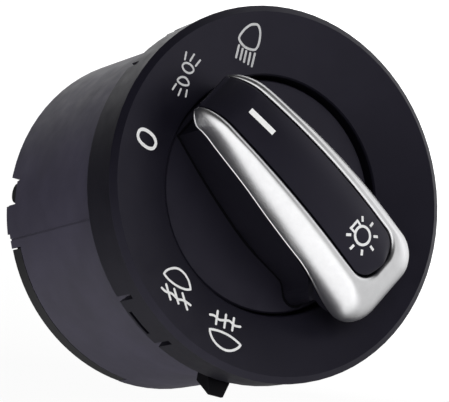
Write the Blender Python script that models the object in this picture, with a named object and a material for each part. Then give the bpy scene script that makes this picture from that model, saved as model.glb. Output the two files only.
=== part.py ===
"""Rotary headlight switch of a car dashboard: a round panel unit with a turn and pull knob.

The front looks toward -Y and the top of the dial toward +Z. The origin lies on the knob's axis, in the
plane where the rear edge of the face plate's skirt seats on the dashboard panel. Every piece is built in
a dial frame whose x is the dial's right, y its top and z its front, and whose parent empty turns it
upright. Lengths are in metres and angles in degrees, counted from the dial's right toward its top.
"""
import math

import bmesh
import bpy
from mathutils import Matrix, Vector

# Clearances
SEAT_GAP = 0.0003
SLIDE_GAP = 0.0003
ROUND_STEPS = 80
SMALL_STEPS = 24

# Housing shell
FACE_BAND = 0.0119
HOUSING_WALL = 0.0016
HOUSING_DEPTH = 0.0408
HOUSING_RISE = 0.0052
PUSH_ROOM = 0.0009
BULKHEAD_WALL = 0.0018
SLEEVE_LENGTH = 0.0068
SLEEVE_WALL = 0.0016
SUPPORT_WALL = 0.0018
SUPPORT_TOP = 0.0002
BOARD_RIB_COUNT = 6
BOARD_RIB_REACH = 0.0018
BOARD_RIB_WIDTH = 0.0016
SEAM_ANGLE = 121.5
SEAM_WIDTH = 0.0004
SEAM_DEPTH = 0.00025

# Face plate
SKIRT_CLEARANCE = 0.0004
SKIRT_WALL = 0.0020
SKIRT_DEPTH = 0.0100
RIM_STEP = 0.0003
RIM_LIP = 0.0012
RIM_CHAMFER_WIDTH = 0.00135
RIM_CHAMFER_RISE = 0.0009
DISH_DEPTH = 0.0033
FACE_WALL = 0.0020
COLLAR_WALL = 0.0012
COLLAR_END = 0.0010
SNAP_ARM_SPAN = 18.5
SNAP_SLOT_WIDTH = 0.0011
SNAP_SLOT_DEPTH = 0.0056
SNAP_WINDOW_SPAN = 8.7
SNAP_WINDOW_Z = 0.0013
SNAP_WINDOW_HEIGHT = 0.0011
SIDE_ARM_ANGLES = (156.8, 336.8)
TOP_ARM_ANGLES = (61.3, 241.3)
TOP_ARM_SLOT_DEPTH = 0.0031
TOP_ARM_RELIEF = 0.0009
TOP_ARM_RELIEF_SPAN = 14.0
LUG_HEIGHT = 0.0005

# Rear cover and connector
COVER_RECESS = 0.0003
COVER_WALL = 0.0016
COVER_BAND_DEPTH = 0.0035
COVER_BAND_START = 125.0
COVER_BAND_SPAN = 61.0
COVER_BOSS_ANGLE = 106.0
COVER_BOSS_RADIUS = 0.0021
REAR_NOTCH_ANGLE = 101.6
REAR_NOTCH_WIDTH = 0.0018
REAR_NOTCH_DEPTH = 0.0045
REAR_TAB_SPAN = 9.5
REAR_TAB_RISE = 0.0012
SOCKET_WIDTH = 0.0300
SOCKET_HEIGHT = 0.0120
SOCKET_WALL = 0.0014
SOCKET_RECESS = 0.0088
SOCKET_PROTRUSION = 0.0052
KEY_RIB_WIDTH = 0.0020
KEY_RIB_HEIGHT = 0.0010

# Boards, terminals and lamps
BOARD_WALL = 0.0016
BOARD_RECESS = 0.0159
BOARD_CLEARANCE = 0.0008
TERMINAL_ROWS = 2
TERMINAL_COLUMNS = 5
TERMINAL_PITCH = 0.0052
TERMINAL_ROW_PITCH = 0.0050
TERMINAL_WIDTH = 0.0028
TERMINAL_THICKNESS = 0.0008
TERMINAL_REACH = 0.0065
TERMINAL_TIP = 0.0010
SYMBOL_ANGLES = {
    "off": 95.7,
    "side": 65.5,
    "beam": 34.3,
    "front_fog": 153.9,
    "rear_fog": 178.8,
}
CHIP_LENGTH = 0.0030
CHIP_WIDTH = 0.0020
CHIP_HEIGHT = 0.0008
DIFFUSER_WALL = 0.0012
DIFFUSER_LEG = 0.0015
DIFFUSER_PAD_RADIUS = 0.0026
DIFFUSER_PAD_RISE = 0.0011

# Rotor with its contacts and detent
ROTOR_JOURNAL_RADIUS = 0.0080
ROTOR_NOSE = 0.0009
DRUM_MARGIN = 0.0049
DRUM_WALL = 0.0043
DETENT_ANGLE = 270.0
DETENT_STEP = 30.0
DETENT_DEPTH = 0.0011
DETENT_HALF_WIDTH = 0.0024
LEAF_THICKNESS = 0.0004
LEAF_HEIGHT = 0.0036
LEAF_HALF_LENGTH = 0.0088
LEAF_STANDOFF = 0.0011
POST_SIZE = 0.0028
SHOE_COUNT = 3
HOLDER_MARGIN = 0.0019
HOLDER_RADIUS = 0.0041
HOLDER_BORE = 0.0026
SHOE_RADIUS = 0.0038
SHOE_WALL = 0.0006
SHOE_STUB_RADIUS = 0.0014
SHOE_STUB_LENGTH = 0.0012
POCKET_ROOF = 0.0016
CONTACT_SPRING_RADIUS = 0.0019
CONTACT_SPRING_WIRE = 0.0004
CONTACT_SPRING_TURNS = 4.0

# Knob: s runs along it toward the pointer, t across it
KNOB_REST_ANGLE = 68.0
KNOB_DISC_RADIUS = 0.0239
DISC_CLEARANCE = 0.0007
DISC_TOP = 0.0060
DISC_WALL = 0.0016
DISC_SKIRT_WALL = 0.0014
DISC_SKIRT_COVER = 0.0040
PULL_TRAVEL = 0.0080
PUSH_TRAVEL = 0.0025
PLINTH_TOP = 0.0173
PLINTH_WALL = 0.0018
PLINTH_FRONT = 0.0223
PLINTH_FRONT_HALF = 0.0068
PLINTH_WAIST_HALF = 0.0108
PLINTH_WAIST_S = -0.0040
PLINTH_NECK_HALF = 0.0103
PLINTH_CORNER = 0.0022
PLINTH_TOP_DRAFT = 0.0010
END_BLOCK_START = -0.0138
END_BLOCK_STEP = 0.0036
END_BLOCK_HALF = 0.0124
END_BLOCK_EDGE = 0.0035
RIB_DEPTH = 0.0003
LIP_GAP = 0.0007
TRIM_LIP_Z = 0.0170
TRIM_DROP = 0.0050
TRIM_DROP_START = -0.0142
TRIM_DROP_LENGTH = 0.0060
TRIM_FRONT = 0.0261
TRIM_TIP_START = 0.0198
TRIM_TIP_SHARE = 0.97
TRIM_END = 0.0293
TRIM_CORNER = 0.0062
TRIM_FRONT_HALF = 0.0076
TRIM_WAIST_HALF = 0.0093
TRIM_WAIST_S = -0.0047
TRIM_FLARE = 0.0021
TRIM_FLARE_LENGTH = 0.0130
TRIM_FULLNESS = 0.36
TRIM_LIP = 0.00025
TRIM_LIP_HEIGHT = 0.0005
TRIM_WALL = 0.0013
TRIM_WALL_SHARE = 0.45
INSERT_FRONT = 0.0265
INSERT_END = 0.0212
INSERT_FRONT_HALF = 0.0045
INSERT_END_HALF = 0.0061
INSERT_CORNER = 0.0030
INSERT_GAP = 0.0003
INSERT_EDGE_Z = 0.02435
INSERT_EDGE_FALL = 0.00245
INSERT_FALL_LENGTH = 0.0260
INSERT_CROWN = 0.0013
INSERT_CROWN_FALL = 0.6
INSERT_WALL = 0.0013
INSERT_ROOF = 0.00156
NOSE_START = 0.0196
NOSE_RADIUS = 0.0070
LIP_NOSE_RADIUS = 0.0038
NOSE_LIMIT = 0.98

# Shaft, light guide, fog lamp slider and return spring
SHAFT_SIDE = 0.0070
SHAFT_ENGAGEMENT = 0.0070
SHAFT_BORE_RADIUS = 0.0023
FLANGE_RADIUS = 0.0080
FLANGE_WALL = 0.0012
GUIDE_END = 0.0205
GUIDE_BAR_WALL = 0.0024
GUIDE_BAR_HALF = 0.0030
GUIDE_BAR_FRONT = 0.0195
POINTER_CENTRE = 0.01665
BULB_CENTRE = -0.0140
GUIDE_RISER_HALF_LENGTH = 0.0030
GUIDE_RISER_HALF_WIDTH = 0.0022
FORK_WALL = 0.0014
FORK_TOP = 0.0030
FORK_RADIUS = 0.0086
FORK_CLEARANCE = 0.0004
FORK_ANGLE = 90.0
FORK_SPAN = 240.0
LEG_WALL = 0.0016
LEG_WIDTH = 0.0060
LEG_CLEARANCE = 0.0010
LEG_END = 0.0212
WIPER_WALL = 0.0004
WIPER_LENGTH = 0.0020
RAIL_WALL = 0.0006
RAIL_WIDTH = 0.0018
RAIL_PITCH = 0.0034
RAIL_MARGIN = 0.0010
RETURN_SPRING_RADIUS = 0.0062
RETURN_SPRING_WIRE = 0.0008
RETURN_SPRING_TURNS = 3.5

# Locking claws
CLAW_ANGLES = {"left": 191.5, "right": 11.5}
CLAW_TRAVEL = 0.0032
CLAW_PROTRUSION = 0.0052
CLAW_WIDTH = 0.0052
CLAW_TIP_WIDTH = 0.0032
CLAW_BLOCK_WIDTH = 0.0080
CLAW_FRONT = 0.0022
CLAW_TIP_HEIGHT = 0.0008
CLAW_RAMP = 0.0031
CLAW_SPRING_RADIUS = 0.0014
CLAW_SPRING_WIRE = 0.00036
CLAW_SPRING_TURNS = 5.0
CLAW_BORE_DEPTH = 0.0024

# Radii and levels that follow from the sizes above
HOUSING_RADIUS = KNOB_DISC_RADIUS + FACE_BAND
CLAW_REACH = HOUSING_RADIUS + CLAW_PROTRUSION
DISC_SKIRT_END = PULL_TRAVEL - DISC_SKIRT_COVER
BULKHEAD_DEPTH = DISC_SKIRT_END + PUSH_TRAVEL + PUSH_ROOM
SHELL_INNER = HOUSING_RADIUS - HOUSING_WALL
SKIRT_INNER = HOUSING_RADIUS + SKIRT_CLEARANCE
SKIRT_OUTER = SKIRT_INNER + SKIRT_WALL
RIM_RADIUS = SKIRT_OUTER + RIM_STEP
FACE_EDGE = RIM_RADIUS - RIM_CHAMFER_WIDTH
FACE_TOP = SKIRT_DEPTH + RIM_CHAMFER_RISE
HOLE_RADIUS = KNOB_DISC_RADIUS + DISC_CLEARANCE
HOLE_Z = FACE_TOP - DISH_DEPTH
SYMBOL_RADIUS = (HOLE_RADIUS + FACE_EDGE) / 2
DISH_SLOPE = DISH_DEPTH / (FACE_EDGE - HOLE_RADIUS)
COLLAR_OUTER = HOLE_RADIUS + COLLAR_WALL
SUPPORT_INNER = HOLE_RADIUS + DISC_CLEARANCE
SUPPORT_OUTER = SUPPORT_INNER + SUPPORT_WALL
BULKHEAD_TOP = -BULKHEAD_DEPTH
BULKHEAD_BOTTOM = BULKHEAD_TOP - BULKHEAD_WALL
SLEEVE_INNER = ROTOR_JOURNAL_RADIUS + SLIDE_GAP
SLEEVE_BOTTOM = BULKHEAD_BOTTOM - SLEEVE_LENGTH
REAR_Z = -HOUSING_DEPTH
COVER_BOSS_Z = REAR_Z + COVER_RECESS * 2 + COVER_BOSS_RADIUS
BOARD_TOP = REAR_Z + BOARD_RECESS
BOARD_BOTTOM = BOARD_TOP - BOARD_WALL
SOCKET_FLOOR_Z = REAR_Z + SOCKET_RECESS
SOCKET_MOUTH_Z = REAR_Z - SOCKET_PROTRUSION
LIGHT_BOARD_BOTTOM = SUPPORT_TOP + SEAT_GAP
LIGHT_BOARD_TOP = LIGHT_BOARD_BOTTOM + BOARD_WALL
LIGHT_BOARD_INNER = COLLAR_OUTER + SEAT_GAP
LIGHT_BOARD_OUTER = SHELL_INNER - BOARD_CLEARANCE / 2
DRUM_RADIUS = KNOB_DISC_RADIUS - DRUM_MARGIN
SHOE_CIRCLE = DRUM_RADIUS - HOLDER_RADIUS - HOLDER_MARGIN
DRUM_TOP = SLEEVE_BOTTOM - SEAT_GAP
DRUM_BOTTOM = DRUM_TOP - DRUM_WALL
SHOE_BOTTOM = BOARD_TOP + SEAT_GAP
SHOE_TOP = SHOE_BOTTOM + SHOE_WALL
HOLDER_BOTTOM = SHOE_TOP + SEAT_GAP
FORK_BOTTOM = FORK_TOP - FORK_WALL
UPPER_FLANGE_BOTTOM = FORK_TOP + SLIDE_GAP
LOWER_FLANGE_TOP = FORK_BOTTOM - SLIDE_GAP
LOWER_FLANGE_BOTTOM = LOWER_FLANGE_TOP - FLANGE_WALL
ROTOR_TOP = BULKHEAD_TOP + ROTOR_NOSE
SHAFT_BOTTOM = ROTOR_TOP - PULL_TRAVEL - SHAFT_ENGAGEMENT
RAIL_LENGTH = PULL_TRAVEL + PUSH_TRAVEL + WIPER_LENGTH + RAIL_MARGIN
INSERT_BOTTOM = PLINTH_TOP + SEAT_GAP
LEG_INNER = DRUM_RADIUS + LEG_CLEARANCE
LEG_OUTER = LEG_INNER + LEG_WALL
CLAW_REAR = BULKHEAD_DEPTH - SEAT_GAP


def box(low, high):
    """A rectangular block between two corners."""
    mesh = bmesh.new()
    size = [high[i] - low[i] for i in range(3)]
    centre = [(high[i] + low[i]) / 2 for i in range(3)]
    matrix = Matrix.Translation(centre) @ Matrix.Diagonal((*size, 1.0))
    bmesh.ops.create_cube(mesh, size=1.0, matrix=matrix)
    return mesh


def loft(loops, split=False):
    """A closed solid through loops with equal numbers of points; split gives it flat triangles."""
    mesh = bmesh.new()
    rings = [[mesh.verts.new(point) for point in loop] for loop in loops]
    count = len(rings[0])
    for ring, following in zip(rings, rings[1:]):
        for i in range(count):
            j = (i + 1) % count
            mesh.faces.new((ring[i], ring[j], following[j], following[i]))
    mesh.faces.new(rings[0])
    mesh.faces.new(rings[-1])
    if split:
        bmesh.ops.triangulate(mesh, faces=mesh.faces)
    bmesh.ops.recalc_face_normals(mesh, faces=mesh.faces)
    return mesh


def prism(outline, bottom, top):
    """An outline in the x, y plane, drawn straight up."""
    return loft([[(x, y, bottom) for x, y in outline], [(x, y, top) for x, y in outline]])


def polar(radius, angle):
    """The x, y place at a radius and an angle in degrees."""
    turn = math.radians(angle)
    return radius * math.cos(turn), radius * math.sin(turn)


def arc(radius, start, end, steps, centre=(0.0, 0.0)):
    """Points along a round arc between two angles, both ends included."""
    points = []
    for i in range(steps + 1):
        x, y = polar(radius, start + (end - start) * i / steps)
        points.append((centre[0] + x, centre[1] + y))
    return points


def rod(radius, bottom, top, centre=(0.0, 0.0), steps=SMALL_STEPS):
    """A round rod that stands along z."""
    return prism(arc(radius, 0.0, 360.0, steps, centre)[:-1], bottom, top)


def sector(inner, outer, start, end, bottom, top, steps=8):
    """A block between two radii and two angles."""
    outline = arc(inner, start, end, steps) + arc(outer, end, start, steps)
    return prism(outline, bottom, top)


def turned(profile, steps=ROUND_STEPS):
    """A ring turned from a closed profile of radius and height pairs."""
    mesh = bmesh.new()
    rings = []
    for i in range(steps):
        turn = 2 * math.pi * i / steps
        rings.append([mesh.verts.new((r * math.cos(turn), r * math.sin(turn), z)) for r, z in profile])
    count = len(profile)
    for i in range(steps):
        ring = rings[i]
        following = rings[(i + 1) % steps]
        for j in range(count):
            k = (j + 1) % count
            mesh.faces.new((ring[j], ring[k], following[k], following[j]))
    bmesh.ops.recalc_face_normals(mesh, faces=mesh.faces)
    return mesh


def coil(radius, wire, bottom, top, turns, sides=5, steps_per_turn=12):
    """A wire spring that stands along z, with its ends cut square."""
    steps = round(turns * steps_per_turn)
    half = wire / 2
    rise = (top - bottom - wire) / (2 * math.pi * turns)
    slope = math.atan2(rise, radius)
    loops = []
    for i in range(steps + 1):
        turn = 2 * math.pi * turns * i / steps
        outward = Vector((math.cos(turn), math.sin(turn), 0.0))
        along = Vector((-math.sin(turn), math.cos(turn), 0.0))
        upward = Vector((0.0, 0.0, math.cos(slope))) - along * math.sin(slope)
        centre = outward * radius + Vector((0.0, 0.0, bottom + half + rise * turn))
        loop = []
        for j in range(sides):
            spin = 2 * math.pi * j / sides
            loop.append(centre + outward * half * math.cos(spin) + upward * half * math.sin(spin))
        loops.append(loop)
    return loft(loops)


def placed(mesh, x=0.0, y=0.0, z=0.0, turn=0.0):
    """The same shape turned about z by some degrees, then moved."""
    matrix = Matrix.Rotation(math.radians(turn), 4, "Z") @ Matrix.Translation((x, y, z))
    bmesh.ops.transform(mesh, matrix=matrix, verts=mesh.verts)
    return mesh


def along_radius(mesh):
    """Lay a shape that stands along z down, so that its z runs outward along x."""
    bmesh.ops.transform(mesh, matrix=Matrix.Rotation(math.pi / 2, 4, "Y"), verts=mesh.verts)
    return mesh


def together(meshes):
    """Several shapes that don't meet, as one."""
    whole = bmesh.new()
    for mesh in meshes:
        part = bpy.data.meshes.new("part")
        mesh.to_mesh(part)
        whole.from_mesh(part)
        bpy.data.meshes.remove(part)
    return whole


def combined(first, second, operation):
    """Two shapes joined or cut by Blender's exact Boolean."""
    pair = []
    for name, mesh in (("first", first), ("second", second)):
        data = bpy.data.meshes.new(name)
        mesh.to_mesh(data)
        item = bpy.data.objects.new(name, data)
        bpy.context.collection.objects.link(item)
        pair.append(item)
    modifier = pair[0].modifiers.new("boolean", "BOOLEAN")
    modifier.operation = operation
    modifier.solver = "EXACT"
    modifier.object = pair[1]
    evaluated = pair[0].evaluated_get(bpy.context.evaluated_depsgraph_get())
    result = bmesh.new()
    result.from_mesh(evaluated.data)
    for item in pair:
        data = item.data
        bpy.data.objects.remove(item)
        bpy.data.meshes.remove(data)
    return result


def cut(body, *tools):
    """A body with each tool's space taken out."""
    for tool in tools:
        body = combined(body, tool, "DIFFERENCE")
    return body


def joined(body, *additions):
    """A body with each addition grown onto it."""
    for addition in additions:
        body = combined(body, addition, "UNION")
    return body


def smoothstep(value):
    """Zero to one along an S-shaped curve, held at both ends."""
    value = min(max(value, 0.0), 1.0)
    return value * value * (3 - 2 * value)


def make_material(name, colour, roughness, metallic=0.0):
    """A plain material of one colour."""
    material = bpy.data.materials.new(name)
    material.use_nodes = True
    shader = material.node_tree.nodes["Principled BSDF"]
    shader.inputs["Base Color"].default_value = (*colour, 1.0)
    shader.inputs["Roughness"].default_value = roughness
    shader.inputs["Metallic"].default_value = metallic
    return material


def make_object(name, mesh, material, parent):
    """An object of its own for one piece, shaded smooth where it is round."""
    bmesh.ops.remove_doubles(mesh, verts=mesh.verts, dist=1e-7)
    data = bpy.data.meshes.new(name)
    mesh.to_mesh(data)
    mesh.free()
    data.materials.append(material)
    data.shade_smooth()
    data.set_sharp_from_angle(angle=math.radians(30))
    item = bpy.data.objects.new(name, data)
    item.parent = parent
    bpy.context.collection.objects.link(item)
    return item


def make_empty(name, parent=None, turn_x=0.0, turn_z=0.0):
    """An empty that carries pieces, turned by some degrees."""
    item = bpy.data.objects.new(name, None)
    item.parent = parent
    item.rotation_euler = (math.radians(turn_x), 0.0, math.radians(turn_z))
    bpy.context.collection.objects.link(item)
    return item


def face_height(radius):
    """Height of the dished front face at a radius."""
    return HOLE_Z + (radius - HOLE_RADIUS) * DISH_SLOPE


def snap_slots(arm_angle, depth):
    """The two slots that free one snap arm of the skirt from its neighbours."""
    slots = []
    for side in (-1, 1):
        slot = box(
            (SKIRT_INNER - SKIRT_WALL, -SNAP_SLOT_WIDTH / 2, -SKIRT_DEPTH),
            (SKIRT_OUTER + SKIRT_WALL, SNAP_SLOT_WIDTH / 2, depth),
        )
        slots.append(placed(slot, turn=arm_angle + side * SNAP_ARM_SPAN / 2))
    return together(slots)


def face_plate_shape():
    """Dished face with its chamfered rim, collar round the knob hole, skirt and snap arms."""
    inner_face = SKIRT_INNER - FACE_WALL / 2
    profile = [
        (SKIRT_INNER, 0.0),
        (SKIRT_OUTER, 0.0),
        (SKIRT_OUTER, SKIRT_DEPTH - RIM_LIP - RIM_STEP),
        (RIM_RADIUS, SKIRT_DEPTH - RIM_LIP),
        (RIM_RADIUS, SKIRT_DEPTH),
        (FACE_EDGE, FACE_TOP),
        (HOLE_RADIUS + RIM_STEP, face_height(HOLE_RADIUS + RIM_STEP)),
        (HOLE_RADIUS, HOLE_Z - RIM_STEP),
        (HOLE_RADIUS, COLLAR_END),
        (COLLAR_OUTER, COLLAR_END),
        (COLLAR_OUTER, face_height(COLLAR_OUTER) - FACE_WALL),
        (inner_face, face_height(inner_face) - FACE_WALL),
        (SKIRT_INNER, face_height(inner_face) - FACE_WALL - RIM_STEP),
    ]
    plate = turned(profile)
    for angle in SIDE_ARM_ANGLES:
        window = sector(
            SKIRT_INNER - SKIRT_WALL, SKIRT_OUTER + SKIRT_WALL,
            angle - SNAP_WINDOW_SPAN / 2, angle + SNAP_WINDOW_SPAN / 2,
            SNAP_WINDOW_Z - SNAP_WINDOW_HEIGHT / 2, SNAP_WINDOW_Z + SNAP_WINDOW_HEIGHT / 2,
        )
        plate = cut(plate, snap_slots(angle, SNAP_SLOT_DEPTH), window)
    for angle in TOP_ARM_ANGLES:
        relief = sector(
            SKIRT_INNER - SKIRT_WALL, SKIRT_OUTER + SKIRT_WALL,
            angle - TOP_ARM_RELIEF_SPAN / 2, angle + TOP_ARM_RELIEF_SPAN / 2,
            -SKIRT_DEPTH, TOP_ARM_RELIEF,
        )
        plate = cut(plate, snap_slots(angle, TOP_ARM_SLOT_DEPTH), relief)
    return plate


def claw_window(angle):
    """The gap in the housing wall that a locking claw reaches through."""
    half = CLAW_WIDTH / 2 + SLIDE_GAP
    window = box(
        (SHELL_INNER - HOUSING_WALL, -half, -CLAW_REAR - SLIDE_GAP / 2),
        (HOUSING_RADIUS + HOUSING_WALL, half, -CLAW_FRONT + SLIDE_GAP),
    )
    return placed(window, turn=angle)


def claw_guides(angle):
    """Two ribs on the bulkhead that a locking claw slides between."""
    guides = []
    for side in (-1, 1):
        centre = side * (CLAW_BLOCK_WIDTH / 2 + SLIDE_GAP + SUPPORT_WALL / 2)
        guides.append(box(
            (SUPPORT_OUTER - SUPPORT_WALL / 2, centre - SUPPORT_WALL / 2, BULKHEAD_TOP - BULKHEAD_WALL / 2),
            (SHELL_INNER + HOUSING_WALL / 2, centre + SUPPORT_WALL / 2, -CLAW_FRONT),
        ))
    return placed(together(guides), turn=angle)


def leaf_radius():
    """Radius at which the straight part of the detent leaf lies."""
    return DRUM_RADIUS + LEAF_STANDOFF


def leaf_posts():
    """The two slotted posts under the bulkhead that hold the ends of the detent leaf."""
    middle = leaf_radius() + LEAF_THICKNESS / 2
    bottom = DRUM_TOP - LEAF_HEIGHT
    posts = []
    for side in (-1, 1):
        centre = side * (LEAF_HALF_LENGTH + SEAT_GAP)
        post = box(
            (middle - LEAF_THICKNESS / 2 - SEAT_GAP - POST_SIZE / 3, centre - POST_SIZE / 2, bottom),
            (middle + POST_SIZE, centre + POST_SIZE / 2, BULKHEAD_TOP - BULKHEAD_WALL / 2),
        )
        slot = box(
            (middle - LEAF_THICKNESS / 2 - SEAT_GAP, centre - POST_SIZE, bottom - POST_SIZE),
            (middle + LEAF_THICKNESS / 2 + SEAT_GAP, centre + POST_SIZE, DRUM_TOP + SEAT_GAP),
        )
        posts.append(cut(post, slot))
    return placed(together(posts), turn=DETENT_ANGLE)


def band_room(start):
    """The arc of the housing's rear edge that is left out for the cover's band."""
    margin = math.degrees(SEAT_GAP / HOUSING_RADIUS)
    return sector(
        SHELL_INNER - HOUSING_WALL, HOUSING_RADIUS + HOUSING_WALL,
        start - margin, start + COVER_BAND_SPAN + margin,
        REAR_Z - HOUSING_WALL, REAR_Z + COVER_RECESS + COVER_BAND_DEPTH + SEAT_GAP, steps=20,
    )


def housing_shape():
    """Shell with the bulkhead, bearing sleeve, board supports, windows and rear edge."""
    profile = [
        (SLEEVE_INNER, SLEEVE_BOTTOM),
        (SLEEVE_INNER + SLEEVE_WALL, SLEEVE_BOTTOM),
        (SLEEVE_INNER + SLEEVE_WALL, BULKHEAD_BOTTOM),
        (SHELL_INNER, BULKHEAD_BOTTOM),
        (SHELL_INNER, REAR_Z),
        (HOUSING_RADIUS, REAR_Z),
        (HOUSING_RADIUS, HOUSING_RISE),
        (SHELL_INNER, HOUSING_RISE),
        (SHELL_INNER, BULKHEAD_TOP),
        (SUPPORT_OUTER, BULKHEAD_TOP),
        (SUPPORT_OUTER, SUPPORT_TOP),
        (SUPPORT_INNER, SUPPORT_TOP),
        (SUPPORT_INNER, BULKHEAD_TOP),
        (SLEEVE_INNER, BULKHEAD_TOP),
    ]
    shell = turned(profile)
    ribs = []
    for i in range(BOARD_RIB_COUNT):
        rib = box(
            (SHELL_INNER - BOARD_RIB_REACH, -BOARD_RIB_WIDTH / 2, BOARD_TOP + SEAT_GAP),
            (SHELL_INNER + HOUSING_WALL / 2, BOARD_RIB_WIDTH / 2, BULKHEAD_TOP - BULKHEAD_WALL / 2),
        )
        ribs.append(placed(rib, turn=360.0 * (i + 0.5) / BOARD_RIB_COUNT))
    shell = joined(shell, together(ribs), leaf_posts())
    for angle in CLAW_ANGLES.values():
        shell = joined(shell, claw_guides(angle))
        shell = cut(shell, claw_window(angle))
    for angle in SIDE_ARM_ANGLES:
        margin = math.degrees(SEAT_GAP / HOUSING_RADIUS)
        half = SNAP_WINDOW_SPAN / 2 - margin
        lug = sector(
            SHELL_INNER + HOUSING_WALL / 2, SKIRT_INNER + SKIRT_WALL / 2, angle - half, angle + half,
            SNAP_WINDOW_Z - LUG_HEIGHT / 2, SNAP_WINDOW_Z + LUG_HEIGHT / 2,
        )
        shell = joined(shell, lug)
    slot = box(
        (LEG_INNER - SLIDE_GAP, -LEG_WIDTH / 2 - SLIDE_GAP, BULKHEAD_BOTTOM - BULKHEAD_WALL),
        (LEG_OUTER + SLIDE_GAP, LEG_WIDTH / 2 + SLIDE_GAP, BULKHEAD_TOP + BULKHEAD_WALL),
    )
    shell = cut(shell, placed(slot, turn=FORK_ANGLE))
    return finish_rear_edge(shell)


def finish_rear_edge(shell):
    """The notches for the cover's bands and boss, the V notch, the tab and the side seams."""
    inside = SHELL_INNER - HOUSING_WALL
    for start in (COVER_BAND_START, COVER_BAND_START + 180.0):
        shell = cut(shell, band_room(start))
    boss_room = COVER_BOSS_RADIUS + SEAT_GAP
    boss_cut = box(
        (inside, -boss_room, REAR_Z - boss_room),
        (HOUSING_RADIUS + HOUSING_WALL, boss_room, COVER_BOSS_Z + SEAT_GAP),
    )
    notch = prism(
        [
            (-REAR_NOTCH_WIDTH, REAR_Z - REAR_NOTCH_DEPTH),
            (REAR_NOTCH_WIDTH, REAR_Z - REAR_NOTCH_DEPTH),
            (0.0, REAR_Z + REAR_NOTCH_DEPTH),
        ],
        inside, HOUSING_RADIUS + HOUSING_WALL,
    )
    swap = Matrix(((0, 0, 1, 0), (1, 0, 0, 0), (0, 1, 0, 0), (0, 0, 0, 1)))
    bmesh.ops.transform(notch, matrix=swap, verts=notch.verts)
    shell = cut(shell, placed(boss_cut, turn=COVER_BOSS_ANGLE), placed(notch, turn=REAR_NOTCH_ANGLE))
    tab_start = COVER_BOSS_ANGLE + math.degrees(boss_room / SHELL_INNER)
    tab = sector(
        SHELL_INNER + SEAM_DEPTH, HOUSING_RADIUS - SEAM_DEPTH / 2, tab_start, tab_start + REAR_TAB_SPAN,
        REAR_Z - REAR_TAB_RISE, REAR_Z + REAR_TAB_RISE,
    )
    shell = joined(shell, tab)
    for angle in (SEAM_ANGLE, SEAM_ANGLE + 180.0):
        seam = box(
            (HOUSING_RADIUS - SEAM_DEPTH, -SEAM_WIDTH / 2, REAR_Z - HOUSING_WALL),
            (HOUSING_RADIUS + HOUSING_WALL, SEAM_WIDTH / 2, HOUSING_RISE + HOUSING_WALL),
        )
        shell = cut(shell, placed(seam, turn=angle))
    return shell


def terminal_places():
    """The x, y place of each terminal in the connector."""
    places = []
    for row in range(TERMINAL_ROWS):
        for column in range(TERMINAL_COLUMNS):
            x = (column - (TERMINAL_COLUMNS - 1) / 2) * TERMINAL_PITCH
            y = (row - (TERMINAL_ROWS - 1) / 2) * TERMINAL_ROW_PITCH
            places.append((x, y))
    return places


def rear_cover_shape():
    """Rear plate with its spigot ring, bands, boss and the keyed connector shroud."""
    outer = SHELL_INNER - SEAT_GAP
    bottom = REAR_Z + COVER_RECESS
    plate_top = bottom + COVER_WALL
    spigot = turned([
        (outer - COVER_WALL, plate_top - COVER_WALL / 2),
        (outer, plate_top - COVER_WALL / 2),
        (outer, BOARD_BOTTOM - SEAT_GAP),
        (outer - COVER_WALL, BOARD_BOTTOM - SEAT_GAP),
    ])
    cover = joined(rod(outer, bottom, plate_top, steps=ROUND_STEPS), spigot)
    for start in (COVER_BAND_START, COVER_BAND_START + 180.0):
        band = sector(
            outer - COVER_WALL / 2, HOUSING_RADIUS, start, start + COVER_BAND_SPAN,
            bottom, bottom + COVER_BAND_DEPTH, steps=20,
        )
        cover = joined(cover, band)
    half_round = arc(COVER_BOSS_RADIUS, -90.0, 90.0, SMALL_STEPS // 2)
    boss = along_radius(prism(half_round, outer - COVER_WALL / 2, HOUSING_RADIUS - SEAM_DEPTH))
    cover = joined(cover, placed(boss, z=COVER_BOSS_Z, turn=COVER_BOSS_ANGLE))
    half_x = SOCKET_WIDTH / 2
    half_y = SOCKET_HEIGHT / 2
    shroud = box(
        (-half_x - SOCKET_WALL, -half_y - SOCKET_WALL, SOCKET_MOUTH_Z),
        (half_x + SOCKET_WALL, half_y + SOCKET_WALL, SOCKET_FLOOR_Z + SOCKET_WALL),
    )
    cavity = box((-half_x, -half_y, SOCKET_MOUTH_Z - SOCKET_WALL), (half_x, half_y, SOCKET_FLOOR_Z))
    cover = cut(joined(cover, shroud), cavity)
    key = box(
        (-KEY_RIB_WIDTH / 2, half_y - KEY_RIB_HEIGHT, SOCKET_MOUTH_Z + SOCKET_WALL),
        (KEY_RIB_WIDTH / 2, half_y + SOCKET_WALL / 2, SOCKET_FLOOR_Z + SOCKET_WALL / 2),
    )
    cover = joined(cover, key)
    slots = []
    for x, y in terminal_places():
        half_width = TERMINAL_WIDTH / 2 + SEAT_GAP
        half_wall = TERMINAL_THICKNESS / 2 + SEAT_GAP
        slots.append(box(
            (x - half_width, y - half_wall, SOCKET_FLOOR_Z - SOCKET_WALL),
            (x + half_width, y + half_wall, SOCKET_FLOOR_Z + SOCKET_WALL * 2),
        ))
    return cut(cover, together(slots))


def terminal_shape(x, y):
    """One flat blade terminal with a tapered tip."""
    half_x = TERMINAL_WIDTH / 2
    half_y = TERMINAL_THICKNESS / 2
    levels = (
        (BOARD_BOTTOM - SEAT_GAP, 1.0),
        (SOCKET_FLOOR_Z - TERMINAL_REACH + TERMINAL_TIP, 1.0),
        (SOCKET_FLOOR_Z - TERMINAL_REACH, 0.5),
    )
    loops = []
    for z, scale in levels:
        corners = ((-1, -1), (1, -1), (1, 1), (-1, 1))
        loops.append([(x + i * half_x * scale, y + j * half_y * scale, z) for i, j in corners])
    return loft(loops)


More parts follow.
